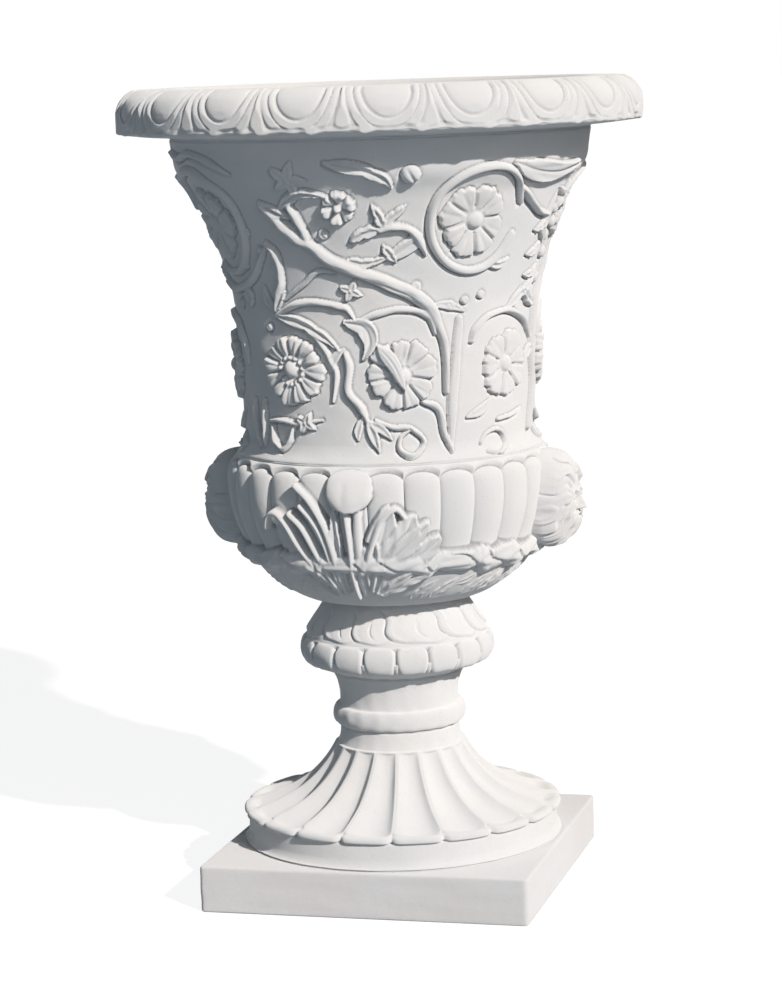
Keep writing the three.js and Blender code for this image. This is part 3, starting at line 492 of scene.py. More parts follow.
def base_of(node):
    """Height of a solid's underside, in millimetres."""
    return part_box(node)[0].z / MM


REPLACED = set()  # solids that pieces stand for


def column_count(count, per):
    """Columns round a casting on which each of count forms has the same number."""
    return count * max(8, round(per * FINENESS))


def cast(node, stone, face, back, columns, carve, pull=None):
    """Adds the turned casting that stands for a solid."""
    name = node + "_casting"
    mesh = turned_mesh(name, face, back, columns, base_of(node), carve, pull)
    add_piece(name, mesh, stone, [node])


def spigot_top(face):
    """Corners of a casting's top, with its spigot, down to its bore."""
    top = face[-1][1]
    return [(SPIGOT, top), (SPIGOT, top + SPIGOT_RISE), (BORE, top + SPIGOT_RISE)]


SOCKET_CORNERS = [(BORE, SOCKET_DEPTH), (SOCKET, SOCKET_DEPTH), (SOCKET, 0)]

# Foot
FLUTES = 19
FLUTE_TURN = 1.2
FLUTE_DEPTH = 6.6
FLUTE_LEAN = 1.5  # above 1, a flute is deepest nearer its right-hand ridge
FLUTE_RIDGE = 0.8  # half of the flat on a ridge
FLUTE_NOTCH = 5.0
FLUTE_FOOT = 24.0  # height of the lip's underside
FLUTE_START = 30.0
FLUTE_HEAD = 92.5
STEP_RADIUS = 156.0
LIP_INNER = 150.0  # radius from which the ridges are rounded off towards the lip
LIP_ROUNDING = 1.2
NECK_RADIUS = 60.0


def flute_scoops(angle, radius, height, along):
    """Concave blades with sharp ridges between them and round lower ends."""
    half = np.pi * radius / FLUTES
    side = side_of_cell(angle, FLUTES, FLUTE_TURN)
    from_ridge = (1 - np.abs(side)) * half
    leaning = np.abs(2 * ((side + 1) / 2) ** FLUTE_LEAN - 1)
    beyond_ridge = np.maximum((1 - leaning) * half - FLUTE_RIDGE, 0)
    across = np.clip(1 - beyond_ridge / (half - FLUTE_RIDGE), 0, 1)
    end = ramp(STEP_RADIUS - radius, 0, 12)
    top = ramp(FLUTE_HEAD + 4 - height, 0, 10)
    scoop = FLUTE_DEPTH * (1 - across ** 2.2) * end * (0.45 + 0.55 * top)
    scoop *= ramp(radius, NECK_RADIUS, 90) * 0.45 + 0.55
    on_flutes = (height > FLUTE_START) & (height < FLUTE_HEAD + 0.2)
    rounding = LIP_ROUNDING * fall(from_ridge, 3) * (radius > LIP_INNER) * (height > FLUTE_FOOT)
    return -np.where(on_flutes, scoop, 0) - rounding + ripple(angle, along, 3, 0.25)


def flute_notches(angle, radius, height, along):
    """Notches between the round ends of the flutes."""
    side = np.abs(side_of_cell(angle, FLUTES, FLUTE_TURN))
    return FLUTE_NOTCH * side ** 7 * ramp(radius, 138, 157) * (height > FLUTE_FOOT + 0.5)


def make_foot(stone):
    face = profile(
        (161, 0),
        [(157, 1.5), (STEP_RADIUS, 8)],
        [(STEP_RADIUS, FLUTE_FOOT)],
        [(STEP_RADIUS, 25), (158, 25)],
        [(161.5, 25), (161.5, 30.5), (157, 31.5)],
        [(120, 39), (87, 54), (66, FLUTE_HEAD)],
        [(65.6, 93.6), (63, 94)],
        [(60.6, 99), (NECK_RADIUS, 104), (NECK_RADIUS, 111)],
    )
    back = closing(face, *spigot_top(face), *SOCKET_CORNERS)
    cast("foot", stone, face, back, column_count(FLUTES, 60), flute_scoops, flute_notches)


# Stem

def make_stem(stone):
    face = profile(
        (60, 0),
        [(67.5, 0.5), (68.5, 10), (67, 19.5), (61.5, 20)],
        [(60.3, 20.2), (60, 21.5)],
        [(58.8, 34), (61, 45), (66, 53)],
    )
    back = closing(face, *spigot_top(face), *SOCKET_CORNERS)
    cast("stem", stone, face, back, column_count(36, 10), uneven(5, 0.3))


# Knop
BEADS = 18
BEAD_TURN = 4.0
BEAD_LOW = 9.0
BEAD_HIGH = 36.0
KNOP_LEAVES = 12
KNOP_LEAF_TURN = 10.0
KNOP_LEAF_LEAN = 26.0  # degrees that a leaf turns from its foot to its tip
KNOP_LEAF_SWAY = 5.0
KNOP_TOP = 75.0
BEAD_INNER = 84.0  # radius from which the beads stand out
BEAD_GAP = 7.5  # depth between two beads
LEAF_GROOVE = 3.0  # depth between two leaves
LEAF_RIB = 1.6  # depth of the line along a leaf


def bead_carving(angle, radius, height):
    """Round pads with a deep gap and a small dart between each two."""
    half = np.pi * radius / BEADS
    side = side_of_cell(angle, BEADS, BEAD_TURN)
    from_edge = (1 - np.abs(side)) * half
    within = np.clip((height - BEAD_LOW) / (BEAD_HIGH - BEAD_LOW), 0, 1)
    width = 3.6 + 4.0 * (1 - within) ** 2 + 3.0 * ramp(within, 0.8, 1)
    gap = -BEAD_GAP * (1 - dome(np.clip(1 - from_edge / width, 0, 1)))
    dart = np.where(within < 0.42, -1.2 - 1.5 * np.maximum(from_edge - 1.2, 0), -99)
    crown = -1.2 * side ** 2 * ramp(within, 0.5, 1)
    return (np.maximum(gap, dart) + crown) * ramp(radius, BEAD_INNER, BEAD_INNER + 9)


def knop_leaves(angle, radius, height):
    """Leaning leaves on the slope, parted by thin curved grooves."""
    up = np.clip((height - BEAD_HIGH - 1) / (KNOP_TOP - BEAD_HIGH - 1), 0, 1)
    sway = np.sin(2 * math.pi * up) + np.sin(np.radians(4 * angle) + 1)
    lean = angle + KNOP_LEAF_LEAN * up + KNOP_LEAF_SWAY * sway
    side = side_of_cell(lean, KNOP_LEAVES, KNOP_LEAF_TURN)
    depths = np.random.default_rng(41).uniform(0.35, 1.0, KNOP_LEAVES)
    depth = depths[number_of_cell(lean, KNOP_LEAVES, KNOP_LEAF_TURN)]
    from_groove = (1 - np.abs(side)) * np.pi * radius / KNOP_LEAVES
    body = 2.2 - 1.2 * np.abs(side + 0.25) ** 1.5 + 0.8 * fall(side + 0.74, 0.13)
    rib = ramp(up, 0.12, 0.25) * ramp(0.62 - up, 0, 0.2)
    body -= LEAF_RIB * depth * fall(side - 0.2, 0.06) * rib
    body -= LEAF_GROOVE * depth * fall(from_groove, 1.3) * ramp(0.85 - up, 0, 0.4)
    tip = 0.03 + 0.10 * np.abs(side) ** 1.5
    return body * ramp(up, tip, tip + 0.05) * ramp(1 - up, 0, 0.15)


def knop_carving(angle, radius, height, along):
    on_beads = (radius > BEAD_INNER) & (height < BEAD_HIGH + 0.3)
    beads = np.where(on_beads, bead_carving(angle, radius, height), 0)
    leaves = np.where(height > BEAD_HIGH, knop_leaves(angle, radius, height), 0)
    return beads + leaves + ripple(angle, along, 7, 0.3)


def make_knop(stone):
    face = profile(
        (66, 0),
        [(72, 2.5), (80, 6), (87, 8)],
        [(93, 9), (99.5, 13.5), (99.5, 28.5), (94.5, 35)],
        [(93, 36.4), (91.5, 37)],
        [(89, 45), (75, 60), (67.5, KNOP_TOP)],
    )
    back = closing(face, *spigot_top(face), *SOCKET_CORNERS)
    cast("knop", stone, face, back, column_count(BEADS, 56), knop_carving)


# Bowl
GADROONS = 28
GADROON_DEPTH = 7.0
GADROON_SHOULDER = 133.0  # height at which a gadroon's round upper end starts
GADROON_ROUNDING = 1.25  # above 1, the end is flatter than a half circle
LOW_LEAVES = 26
ROLL_TOP = 62.0  # upper edge of the ring of low leaves
ROLL_FOOT = 41.0
ROLL_HEIGHT = 9.0  # how far the ring stands out
LEAF_LEAN = 9.0  # degrees that a low leaf leans
ROLL_WANDER = 4.0  # degrees that the low leaves stray from even places
ROLL_SCALLOP = 4.0  # how far the ring's lower edge swings with each leaf
ROLL_RAGGED = 4.5  # unevenness of both edges
ROLL_POINT = 3.0
ROLL_TEETH = 2.6
ROLL_FOLD = 2.0
ROLL_SLANT = 1.4
ROLL_CREASE = 2.2
ROLL_LEAST = 1.5  # the ring stands out at least this far
UNDER_SWELL = 2.4  # how far the ground below the ring stands out
GADROON_EDGE = 4.5  # width of the groove above a gadroon's round end


def gadroons(relief):
    """Convex ribs whose round upper ends turn over the shoulder."""
    radius = relief.radius[:, None]
    half = np.pi * radius / GADROONS
    side = side_of_cell(relief.angle[None, :], GADROONS)
    across = np.abs(side) * half
    above = np.maximum(relief.up[:, None] - relief.lift(GADROON_SHOULDER), 0)
    inside = half - np.hypot(across, above * GADROON_ROUNDING)
    rounded = 1 - dome(1 - np.clip(inside / half, 0, 1))
    body = -GADROON_DEPTH * rounded
    outside = -GADROON_DEPTH * (1 - ramp(-inside, 0, GADROON_EDGE)) ** 1.2
    shape = np.where(inside > 0, body, outside)
    return shape * ramp(relief.up[:, None], 5, 40) * ramp(relief.up[-1] - relief.up[:, None], 0, 4)


def low_leaf_ring(relief):
    """A thick ruffled roll of leaves round the bowl's underside."""
    angle = relief.angle[None, :]
    up = relief.up[:, None]
    flat = np.zeros_like(up)
    angle = angle + ripple(angle, flat, 35, ROLL_WANDER, 16, 2)
    side = side_of_cell(angle, LOW_LEAVES, 6.0)
    tooth = np.abs(side_of_cell(angle, 3 * LOW_LEAVES, 1.0))
    low = relief.lift(ROLL_FOOT) + ROLL_SCALLOP * np.cos(np.pi * side)
    low = low + ripple(angle, flat, 22, ROLL_RAGGED, 24, 2)
    high = relief.lift(ROLL_TOP) + ROLL_POINT * (1 - np.abs(side) ** 1.5)
    high = high + ripple(angle, flat, 21, ROLL_RAGGED, 30, 2)
    high = high + ROLL_TEETH * tooth * ripple(angle, flat, 36, 1.0, 20, 2)
    share = np.clip((up - low) / (high - low), 0, 1)
    slant = side_of_cell(angle + LEAF_LEAN * share ** 2, LOW_LEAVES, 11.0)
    fold = side_of_cell(angle - 8 * share + 3 * np.sin(4 * share + side), 2 * LOW_LEAVES, 3.0)
    out = ROLL_HEIGHT * np.sin(np.pi * np.clip(0.05 + 0.80 * share, 0, 1)) ** 0.8
    out += ROLL_FOLD * np.abs(fold) ** 0.8 * ramp(share, 0.1, 0.5)
    out -= ROLL_SLANT * slant * ramp(share, 0.2, 0.7)
    out += ripple(angle, up, 37, 1.0, 30, 2)
    out -= ROLL_CREASE * fall(1 - np.abs(slant), 0.10) * ramp(share, 0.3, 0.8)
    on_roll = (up > low) & (up < high)
    under = UNDER_SWELL * ramp(up, 3, 14) * ramp(low + 2 - up, 0, 3)
    return np.where(on_roll, np.maximum(out, ROLL_LEAST), np.where(up <= low, under, 0))


# The tall leaf: leaflets fan out to the left of its midrib and broad lobes spread to the right.
TALL_STEMS = [  # places, width, relief, share of the width at the foot and at the tip
    ([(-1.4, 20), (-0.8, 50), (0, 75), (-0.3, 108)], 6.5, 10.0, (0.8, 1.0)),
    ([(-7.5, 22), (-6.7, 56), (-7.5, 84), (-9.9, 103), (-13.4, 118), (-18.2, 129)],
     7.5, 9.0, (0.5, 0.95)),
    ([(-8.5, 28), (-8.4, 47), (-9.4, 77), (-12.2, 97), (-16.6, 111)], 6.0, 8.5, (0.4, 0.95)),
    ([(-9.5, 22), (-10.5, 38), (-13.4, 67), (-16.6, 90), (-21.2, 103)], 7.0, 9.0, (0.4, 0.9)),
    ([(-10.4, 20), (-13.2, 43), (-18.8, 69), (-22.6, 92), (-26.2, 103), (-30, 100), (-32.2, 88)],
     6.5, 10.0, (0.4, 0.9)),
    ([(-12, 18), (-20.2, 37), (-26, 53)], 5.0, 7.0, (0.5, 0.6)),
    ([(-19, 34), (-28, 53), (-35, 62)], 5.0, 7.0, (0.5, 0.6)),
    ([(1.6, 22), (2.4, 60), (3.4, 106)], 9.0, 7.0, (0.7, 0.9)),
    ([(4.4, 34), (5.6, 60), (9.2, 86), (11.6, 100), (16, 109), (19.4, 99)], 7.0, 9.5, (0.6, 0.7)),
    ([(5, 26), (8.4, 50), (9.6, 68), (9, 82)], 6.0, 8.0, (0.6, 0.4)),
]
TALL_LEAVES = [  # places, width, relief, lobes
    ([(-6.5, 24), (-5.2, 73), (-4.6, 112)], 11, 7.5, 0),
    ([(-15, 32), (-22, 64), (-28, 100)], 16, 5.5, 0),
    ([(7, 26), (9, 60), (12, 88), (14, 112)], 30, 6.5, 1),
    ([(8, 28), (14, 60), (19, 84), (22, 103)], 30, 8.0, 2),
    ([(9, 26), (18, 50), (26, 68), (31, 82)], 24, 9.5, 2),
    ([(12, 56), (20, 76), (27, 96)], 18, 11.0, 1),
    ([(10, 24), (22, 42), (33, 57)], 18, 10.0, 2),
]
UNDER_LEAVES = [  # the same, for small leaves under the roll, counted from each of its leaves
    ([(-4, 12), (0, 24), (6, 36)], 13, 4.5, 2),
    ([(4, 26), (10, 30), (15, 38)], 8, 4.0, 1),
]
CURL_PLACE = (0.3, 127.5)
CURL_HALF = (22.5, 20.5)  # half its width and half its height
CURL_DEPTH = 15
CURL_HEAD = 0.3  # above this share of its way down the curl narrows towards its top
CURL_FOOT = 0.62  # and below this share towards its foot


def tall_leaf(relief):
    for places, width, height, lobes in TALL_LEAVES:
        relief.leaf(places, width, height, lobes=lobes, notch=0.2, cup=0.3, tip=0.45)
    for args in TALL_STEMS:
        relief.stem(*args)
    relief.dot((-27, 99), 8, 9.5)
    relief.pit((5.6, 75), 2.6, 3.0)
    curl(relief, CURL_PLACE, *CURL_HALF, CURL_DEPTH)


def under_leaves(relief):
    step = 360 / LOW_LEAVES
    draw = np.random.default_rng(31)
    for i in range(LOW_LEAVES // 2):
        for places, width, height, lobes in UNDER_LEAVES:
            shift = draw.uniform(-2.5, 2.5, 2)
            moved = [(angle + 25 + i * step + shift[0], up + shift[1]) for angle, up in places]
            relief.leaf(moved, width, height * draw.uniform(0.7, 1.1), lobes=lobes)


def curl(relief, place, half_width, half_height, height):
    """The tall leaf's tip, which folds over and hangs from the shoulder."""
    cells, distance, way = relief.polar(place, 1.6 * half_width)
    across, up = distance * np.sin(way), distance * np.cos(way)
    down = np.clip((half_height - up) / (2 * half_height), 0, 1)
    half = half_width * (0.8 + 0.2 * np.sin(np.pi * down))
    half = half * dome(np.maximum(down - CURL_FOOT, 0) / (1 - CURL_FOOT)) ** 0.6
    half = half * dome(np.maximum(CURL_HEAD - down, 0) / CURL_HEAD)
    share = np.abs(across - 1.5) / np.maximum(half, 0.1)
    swell = height * (0.02 + 0.98 * ramp(down, -0.05, 0.8))
    lobe = swell * dome(share) ** 0.6
    lobe -= 0.9 * fall(across + 3, 3.5) * ramp(down, 0.2, 0.5) * ramp(0.9 - down, 0, 0.2)
    lobe -= 1.6 * ramp(across, 4, 16) * ramp(down, 0.3, 0.9)
    inside = (share < 1) & (np.abs(up) < half_height)
    relief.raise_to(cells, np.where(inside, np.maximum(lobe, 0.5), 0))
    beyond = np.maximum(share - 1, 0) * half_width / 3
    relief.sink_to(cells, 2.0 * fall(beyond, 1) * ramp(down, 0.4, 0.8) * (down < 1))


def make_bowl(stone):
    face = profile(
        (73, 0),
        [(108, 3.4), (159, 47), (164, 112)],
        [(164.8, 128), (163.5, 141), (151.6, 147)],
    )
    inner = [(122, 147), (122, 103), (116, 62), (98, 36), (62, 24), (BORE, 24)]
    back = closing(face, *inner, *SOCKET_CORNERS)
    columns = column_count(GADROONS, 46)
    relief = Relief(face, columns // 2, HALF_TURN)
    tall_leaf(relief)
    relief.raised = np.maximum(relief.raised, low_leaf_ring(relief))
    under_leaves(relief)
    relief.undercut()
    ground = gadroons(relief) * np.where(relief.raised > 0, 0, 1)
    cast("bowl", stone, face, back, columns, uneven(11, 0.25, relief.all_round(ground)))


# Bell: the frieze is the same on both halves. Places are (angle, height above the bell's underside).
ROSETTES = [  # place, radius, relief, petals, turn
    ((-22.5, 91), 35, 8.0, 12, 8),
    ((20, 84), 34, 7.0, 9, 0),
    ((65, 87), 32, 4.5, 7, 20),
    ((-70, 87), 34, 7.0, 9, 10),
    ((44.5, 229), 36, 5.5, 8, 12),
    ((-51, 231), 36, 5.5, 8, 0),
    ((2, 246), 17, 9.0, 6, 10),
]
STEMS = [  # places, width, relief
    ([(-23, 249), (-18, 233), (-14, 220), (-9, 211), (-2, 195), (7, 184), (17, 173), (25, 162),
      (31, 148), (35, 125), (37, 103), (37, 66)], 11, 7.0),
    ([(-13, 247), (-11, 231), (-9, 212)], 8, 6.0),
    ([(8, 178), (17, 167), (25, 156), (30, 143), (33, 122)], 5, 4.5),
    ([(-26, 212), (-23, 202), (-23, 184), (-24, 172), (-27, 159), (-29, 146)], 6.5, 5.5),
    ([(0, 106), (1, 92), (0, 71), (5, 53), (7, 40)], 7, 5.5),
    ([(-28, 143), (-18, 154), (-9, 155), (-3, 152), (1, 149), (4, 137)], 6, 5.0),
    ([(-24, 157), (-15, 172), (-8, 185), (-2, 183)], 4.5, 2.0),
    ([(-14, 127), (-9, 115), (-6, 100), (-4, 85), (-6, 60)], 5, 4.5),
    ([(6, 138), (13, 144), (21, 147), (29, 142), (34, 128)], 6, 4.0),
    ([(28, 58), (34, 50), (36, 28), (39, 9)], 6, 4.0),
    ([(10, 42), (16, 35), (23, 33), (28, 20), (24, 7), (19, 12), (19, 24), (23, 32)], 4.5, 3.5),
    ([(48, 112), (50, 125), (57, 136), (67, 138), (77, 128), (84, 108)], 5.5, 4.0),
    ([(43, 135), (42, 112), (40, 60), (39, 12)], 9, 3.0),
    ([(14, 224), (19, 227), (24, 222), (27, 210), (29, 198)], 7, 6.0),
    ([(60, 258), (66, 245), (73, 233), (82, 227)], 6.5, 5.0),
    ([(-47, 58), (-47, 35), (-44, 12)], 5, 4.5),
    ([(-40, 58), (-40, 34), (-41, 13)], 5, 4.5),
    ([(-35, 34), (-34, 20), (-30, 12), (-26, 21), (-24, 34)], 5, 5.0),
    ([(-37, 39), (-29, 40), (-22, 38), (-11, 42)], 4.5, 4.0),
    ([(61, 34), (69, 36), (77, 41)], 4, 2.5),
    ([(52, 14), (55, 22), (60, 25), (64, 20), (65, 10), (60, 3), (54, 6)], 3.5, 2.0),
    ([(-90, 108), (-86, 124), (-77, 138), (-67, 139), (-57, 130), (-51, 112), (-50, 92)], 5.5, 4.5),
    ([(-62, 172), (-55, 165), (-47, 168), (-38, 178), (-31, 196), (-26, 212)], 7, 5.0),
    ([(-96, 20), (-93, 60), (-95, 100), (-92, 140), (-86, 170), (-84, 205)], 7, 4.5),
    ([(-66, 298), (-56, 293), (-48, 297), (-38, 290), (-30, 278)], 6, 4.5),
    ([(-88, 36), (-82, 26), (-74, 24), (-66, 32), (-60, 44)], 5, 4.0),
]
SCROLLS = [  # place, radius, width, relief, first and last direction from straight up
    ((46, 230), 49.5, 7.5, 5.5, -250, 75),
    ((-51, 231), 49.5, 8, 5.5, -75, 215),
]
LEAVES = [  # midrib, width, relief, lobes
    ([(-17, 246), (-12, 256), (-7, 261), (0, 256)], 11, 6.5, 2),
    ([(-14, 236), (-19, 244), (-24, 253)], 8, 7.5, 1),
    ([(-13, 226), (-18, 233), (-22, 243)], 7, 7.0, 1),
    ([(16, 196), (21, 204), (26, 214), (25, 224)], 14, 5.0, 1),
    ([(0, 288), (6, 284), (12, 279), (16, 273), (18, 263)], 12, 7.5, 2),
    ([(15, 226), (14, 236), (12, 248)], 10, 6.5, 2),
    ([(15, 228), (19, 238), (22, 246)], 9, 5.0, 2),
    ([(14, 224), (9, 221), (4, 213)], 12, 6.5, 2),
    ([(3, 196), (9, 192), (17, 198)], 9, 5.0, 3),
    ([(15, 208), (17, 200), (19, 192)], 9, 6.0, 2),
    ([(-29, 146), (-32, 156), (-33, 170)], 8, 5.5, 1),
    ([(-29, 146), (-26, 157), (-23, 166)], 7, 4.5, 1),
    ([(-29, 142), (-18, 135), (-9, 124), (-2, 108)], 11, 6.5, 2),
    ([(-1, 110), (-5, 100), (-6, 88)], 8, 5.0, 1),
    ([(0, 136), (7, 131), (9, 116), (6, 99)], 17, 7.5, 1),
    ([(7, 42), (9, 26), (11, 11)], 9, 5.5, 1),
    ([(6, 42), (12, 33), (16, 22)], 8, 4.5, 1),
    ([(5, 44), (3, 32), (3, 22)], 7, 4.0, 1),
    ([(33, 150), (39, 148), (45, 141)], 8, 3.0, 1),
    ([(66, 141), (75, 154), (85, 168)], 10, 4.5, 2),
    ([(54, 281), (63, 273), (74, 271), (86, 279)], 23, 5.5, 1),
    ([(82, 227), (79, 219), (74, 213)], 10, 5.5, 2),
    ([(82, 200), (77, 193), (73, 190)], 9, 5.0, 2),
    ([(85, 178), (80, 171), (75, 170)], 9, 4.5, 2),
    ([(53, 186), (58, 184), (63, 190)], 8, 5.5, 1),
    ([(-62, 172), (-66, 180), (-71, 184)], 10, 5.0, 2),
    ([(-45, 168), (-43, 158), (-44, 148)], 10, 5.0, 2),
    ([(-86, 170), (-79, 176), (-74, 186)], 11, 5.5, 2),
    ([(-93, 140), (-100, 148), (-106, 160)], 11, 5.5, 2),
    ([(-94, 100), (-101, 92), (-104, 80)], 10, 5.0, 2),
    ([(-84, 205), (-88, 222), (-85, 242)], 14, 6.5, 3),
    ([(-84, 205), (-78, 214), (-75, 226)], 9, 5.0, 1),
    ([(-86, 245), (-80, 262), (-70, 276)], 12, 5.5, 2),
    ([(-96, 200), (-100, 222), (-98, 250)], 9, 4.5, 2),
    ([(-90, 20), (-80, 8), (-72, 6)], 9, 4.0, 2),
    ([(46, 40), (53, 46), (58, 56)], 9, 3.0, 1),
]
STARS = [  # place, radius, relief, points, turn
    ((-11, 273), 20, 4.0, 5, 20),
    ((-18, 39), 12, 5.5, 4, 30),
    ((3, 166), 12, 5.0, 4, 25),
    ((88, 246), 17, 6.5, 5, 10),
    ((-62, 12), 12, 3.5, 4, 0),
]
BUDS = [  # place, radius, relief
    ((23, 275), 9, 7.0), ((-4, 220), 5, 4.5), ((26, 168), 5, 4.0), ((39, 148), 5, 3.0),
    ((85, 233), 6, 5.0), ((88, 219), 6, 5.0), ((85, 207), 6, 4.5), ((88, 190), 6, 4.5),
    ((86, 166), 6, 4.0), ((-30, 205), 4, 3.5), ((-34, 222), 4, 3.0), ((-33, 130), 4, 3.5),
    ((45, 152), 4, 2.5), ((52, 156), 4, 2.5), ((-96, 272), 8, 5.0), ((-52, 152), 5, 4.0),
    ((-41, 190), 5, 4.0),
]


def star(relief, place, radius, height, points, turn):
    """Pointed leaves that spread from one place."""
    cells, distance, way = relief.polar(place, radius * 1.4)
    side = np.abs(side_of_cell(np.degrees(way), points, turn))
    edge = radius * (1 - 0.62 * side ** 0.8)
    share = distance / edge
    blade = height * (0.55 + 0.45 * share) - 0.25 * height * fall(side, 0.09)
    relief.raise_to(cells, np.where(share < 1, blade, 0))
    relief.raise_to(cells, height * dome(distance / (0.2 * radius)))
    relief.moat(cells, distance - edge)


def bud(relief, place, radius, height):
    """A round bud with a slit."""
    cells, distance, way = relief.polar(place, radius * 1.6)
    slit = 1 - 0.35 * fall(distance * np.sin(way + 0.6), 0.16 * radius)
    relief.raise_to(cells, height * dome(distance / radius) * slit)
    relief.moat(cells, distance - radius)


SCROLL_PLACES = 13


def scroll(relief, place, radius, width, height, first, last):
    """A vine that runs round a rosette."""
    ways = np.radians(np.linspace(first, last, SCROLL_PLACES))
    places = [relief.beside(place, radius, way) for way in ways]
    relief.stem(places, width, height, ends=(0.9, 0.5))


VINE_SHARE = 1.15
VINE_KNOTS = 0.08


def frieze(relief):
    for place, radius, height, petals, turn in ROSETTES:
        relief.rosette(place, radius, height, petals, turn)
    relief.stamens((-22.5, 89), 13, 14, 2.6, 6.5)
    relief.leaf([(12, 113), (17, 96), (21, 70)], 13, 10.5, lobes=0, notch=0, cup=-0.3)
    for args in SCROLLS:
        scroll(relief, *args)
    for places, width, height in STEMS:
        relief.stem(places, width, VINE_SHARE * height, knots=VINE_KNOTS)
    for places, width, height, lobes in LEAVES:
        relief.leaf(places, width, height, lobes)
    for args in STARS:
        star(relief, *args)
    for args in BUDS:
        bud(relief, *args)


def make_bell(stone):
    face = profile(
        (151.8, 0),
        [(151.8, 0.8), (151.2, 1.8)],
        [(149, 5), (145.2, 8), (144, 17)],
        [(145, 60), (148.5, 95), (149, 130)],
        [(149, 165.4), (160.2, 195.9), (184, 252)],
        [(192, 269), (203, 271), (204, 290)],
        [(205.5, 300), (207, 308)],
        spacing=0.8,
    )
    back = closing(face, (185, 308), (162, 252), (137, 200), (127, 130), (122, 0))
    columns = column_count(36, 40)
    relief = Relief(face, columns // 2, HALF_TURN)
    frieze(relief)
    relief.undercut()
    cast("bell", stone, face, back, columns, uneven(13, 0.4, relief.all_round()))


# Rim
EGGS = 20
EGG_TURN = -1.4
EGG_HALF_WIDTH = 23.0
EGG_LENGTH = 32.0
EGG_MIDDLE = 44.0  # distance up the round face at which an egg is widest
EGG_SHIFT = 1.6  # an egg stands at most this far from the middle of its cell
EGG_HEIGHT = 4.4
EGG_GROUND = 2.2  # how far the ground between the forms is sunk
EGG_FRAMES = [(1.22, 0.15, 2.9, 2.0), (1.54, 0.17, 2.6, 2.2)]  # reach, half width, height, ground
DART_HEIGHT = 3.4
OVOLO = 57.0  # length of the round face, from the lower lip to the flat top
OVOLO_RADIUS = 256.0
LIP_LENGTH = 7.0
RIM_REACH = 258.3  # nothing stands out further
RIM_TOP = 48.0
RIM_FLAT = RIM_TOP - 0.1


def rim_carving(start):
    def carve(angle, radius, height, along):
        """Eggs in doubled frames with a dart between each two, over a thin uneven lip."""
        up = along - start
        half = np.pi * OVOLO_RADIUS / EGGS
        draw = np.random.default_rng(17)
        cell = number_of_cell(angle, EGGS, EGG_TURN)
        lean = draw.uniform(-EGG_SHIFT, EGG_SHIFT, EGGS)[cell]
        across = side_of_cell(angle, EGGS, EGG_TURN) * half + lean
        low = np.minimum(up - EGG_MIDDLE, 0)
        reach = np.hypot(across / EGG_HALF_WIDTH, low / EGG_LENGTH)
        shape = EGG_HEIGHT * dome(reach) ** 0.7 - EGG_GROUND
        for middle, width, height_out, ground in EGG_FRAMES:
            shape = np.maximum(shape, height_out * dome((reach - middle) / width) - ground)
        from_dart = half - np.abs(across - lean) + 0.2 * lean
        width = 1.6 + 8.0 * np.clip(1 - up / OVOLO, 0, 1) ** 1.3
        dart = DART_HEIGHT * (1 - (from_dart / width) ** 2) + fall(from_dart, 1.4) - EGG_GROUND
        shape = np.maximum(shape, np.where(from_dart < width, dart, -9))
        shape = np.maximum(shape, -2.6) * ramp(OVOLO - up, 0, 5) * ramp(up, 1.5, 6)
        turn = np.radians(angle)
        chips = np.sin(31 * turn + 1) + 0.4 * np.sin(97 * turn) - 0.8
        chips = chips + 0.9 * np.sin(57 * turn + 3 * np.sin(4 * turn))
        on_lip = (1 - ramp(up, 2, LIP_LENGTH)) * ramp(up, -LIP_LENGTH, -1)
        shape = shape + np.where(up < LIP_LENGTH, chips * on_lip, 0)
        shape = (shape + ripple(angle, along, 19, 0.2)) * ramp(RIM_TOP - height, 0, 2.5)
        room = np.minimum(RIM_REACH - radius, 0.9 * (RIM_TOP - height))
        return np.minimum(shape, room)
    return carve


def make_rim(stone):
    soffit = profile((207, 0), [(208.5, 1.2)], [(230, 2.6), (251.5, 5.0)], [(256.5, 5.4), (257.6, 7.5)])
    ovolo = profile(
        tuple(soffit[-1]),
        [(258.2, 12)],
        [(260.4, 23), (256, 42), (236, 46.8)],
        [(234, RIM_FLAT), (230, RIM_FLAT)],
    )
    face = np.concatenate([soffit, ovolo[1:]])
    start = np.linalg.norm(np.diff(soffit, axis=0), axis=1).sum()
    back = closing(face, (204.6, RIM_FLAT), (201.6, 45), (185, 16), (185, 0))
    cast("rim", stone, face, back, column_count(EGGS, 90), rim_carving(start))


# Plinth
PLINTH_CORNER = 5.0
PLINTH_EDGE = 2.5
PLINTH_RINGS = 60
PLINTH_COLUMNS = 110  # along each side
PLINTH_BEND = 8  # round each corner
PLINTH_RIPPLE = 0.22
PLINTH_SETBACK = 0.25  # keeps the uneven sides within 0.1 mm of the solid's, or inside them
POCKET = 30.0
POCKET_DEPTH = 27.0


def rounded_square(half, corner, per_side, per_corner):
    """Points round a square with rounded corners, from the middle of its front side."""
    corner = max(min(corner, half), 0.01)
    flat = half - corner
    side = [(x, -half) for x in np.linspace(-flat, flat, per_side, endpoint=False)]
    bend = np.linspace(0, math.pi / 2, per_corner, endpoint=False)
    arc = [(flat + corner * math.sin(t), -flat - corner * math.cos(t)) for t in bend]
    x, y = np.array(side + arc).T
    quarters = []
    for turn in np.arange(4) * math.pi / 2:
        cos, sin = math.cos(turn), math.sin(turn)
        quarters.append(np.stack([x * cos - y * sin, x * sin + y * cos], 1))
    return np.concatenate(quarters)


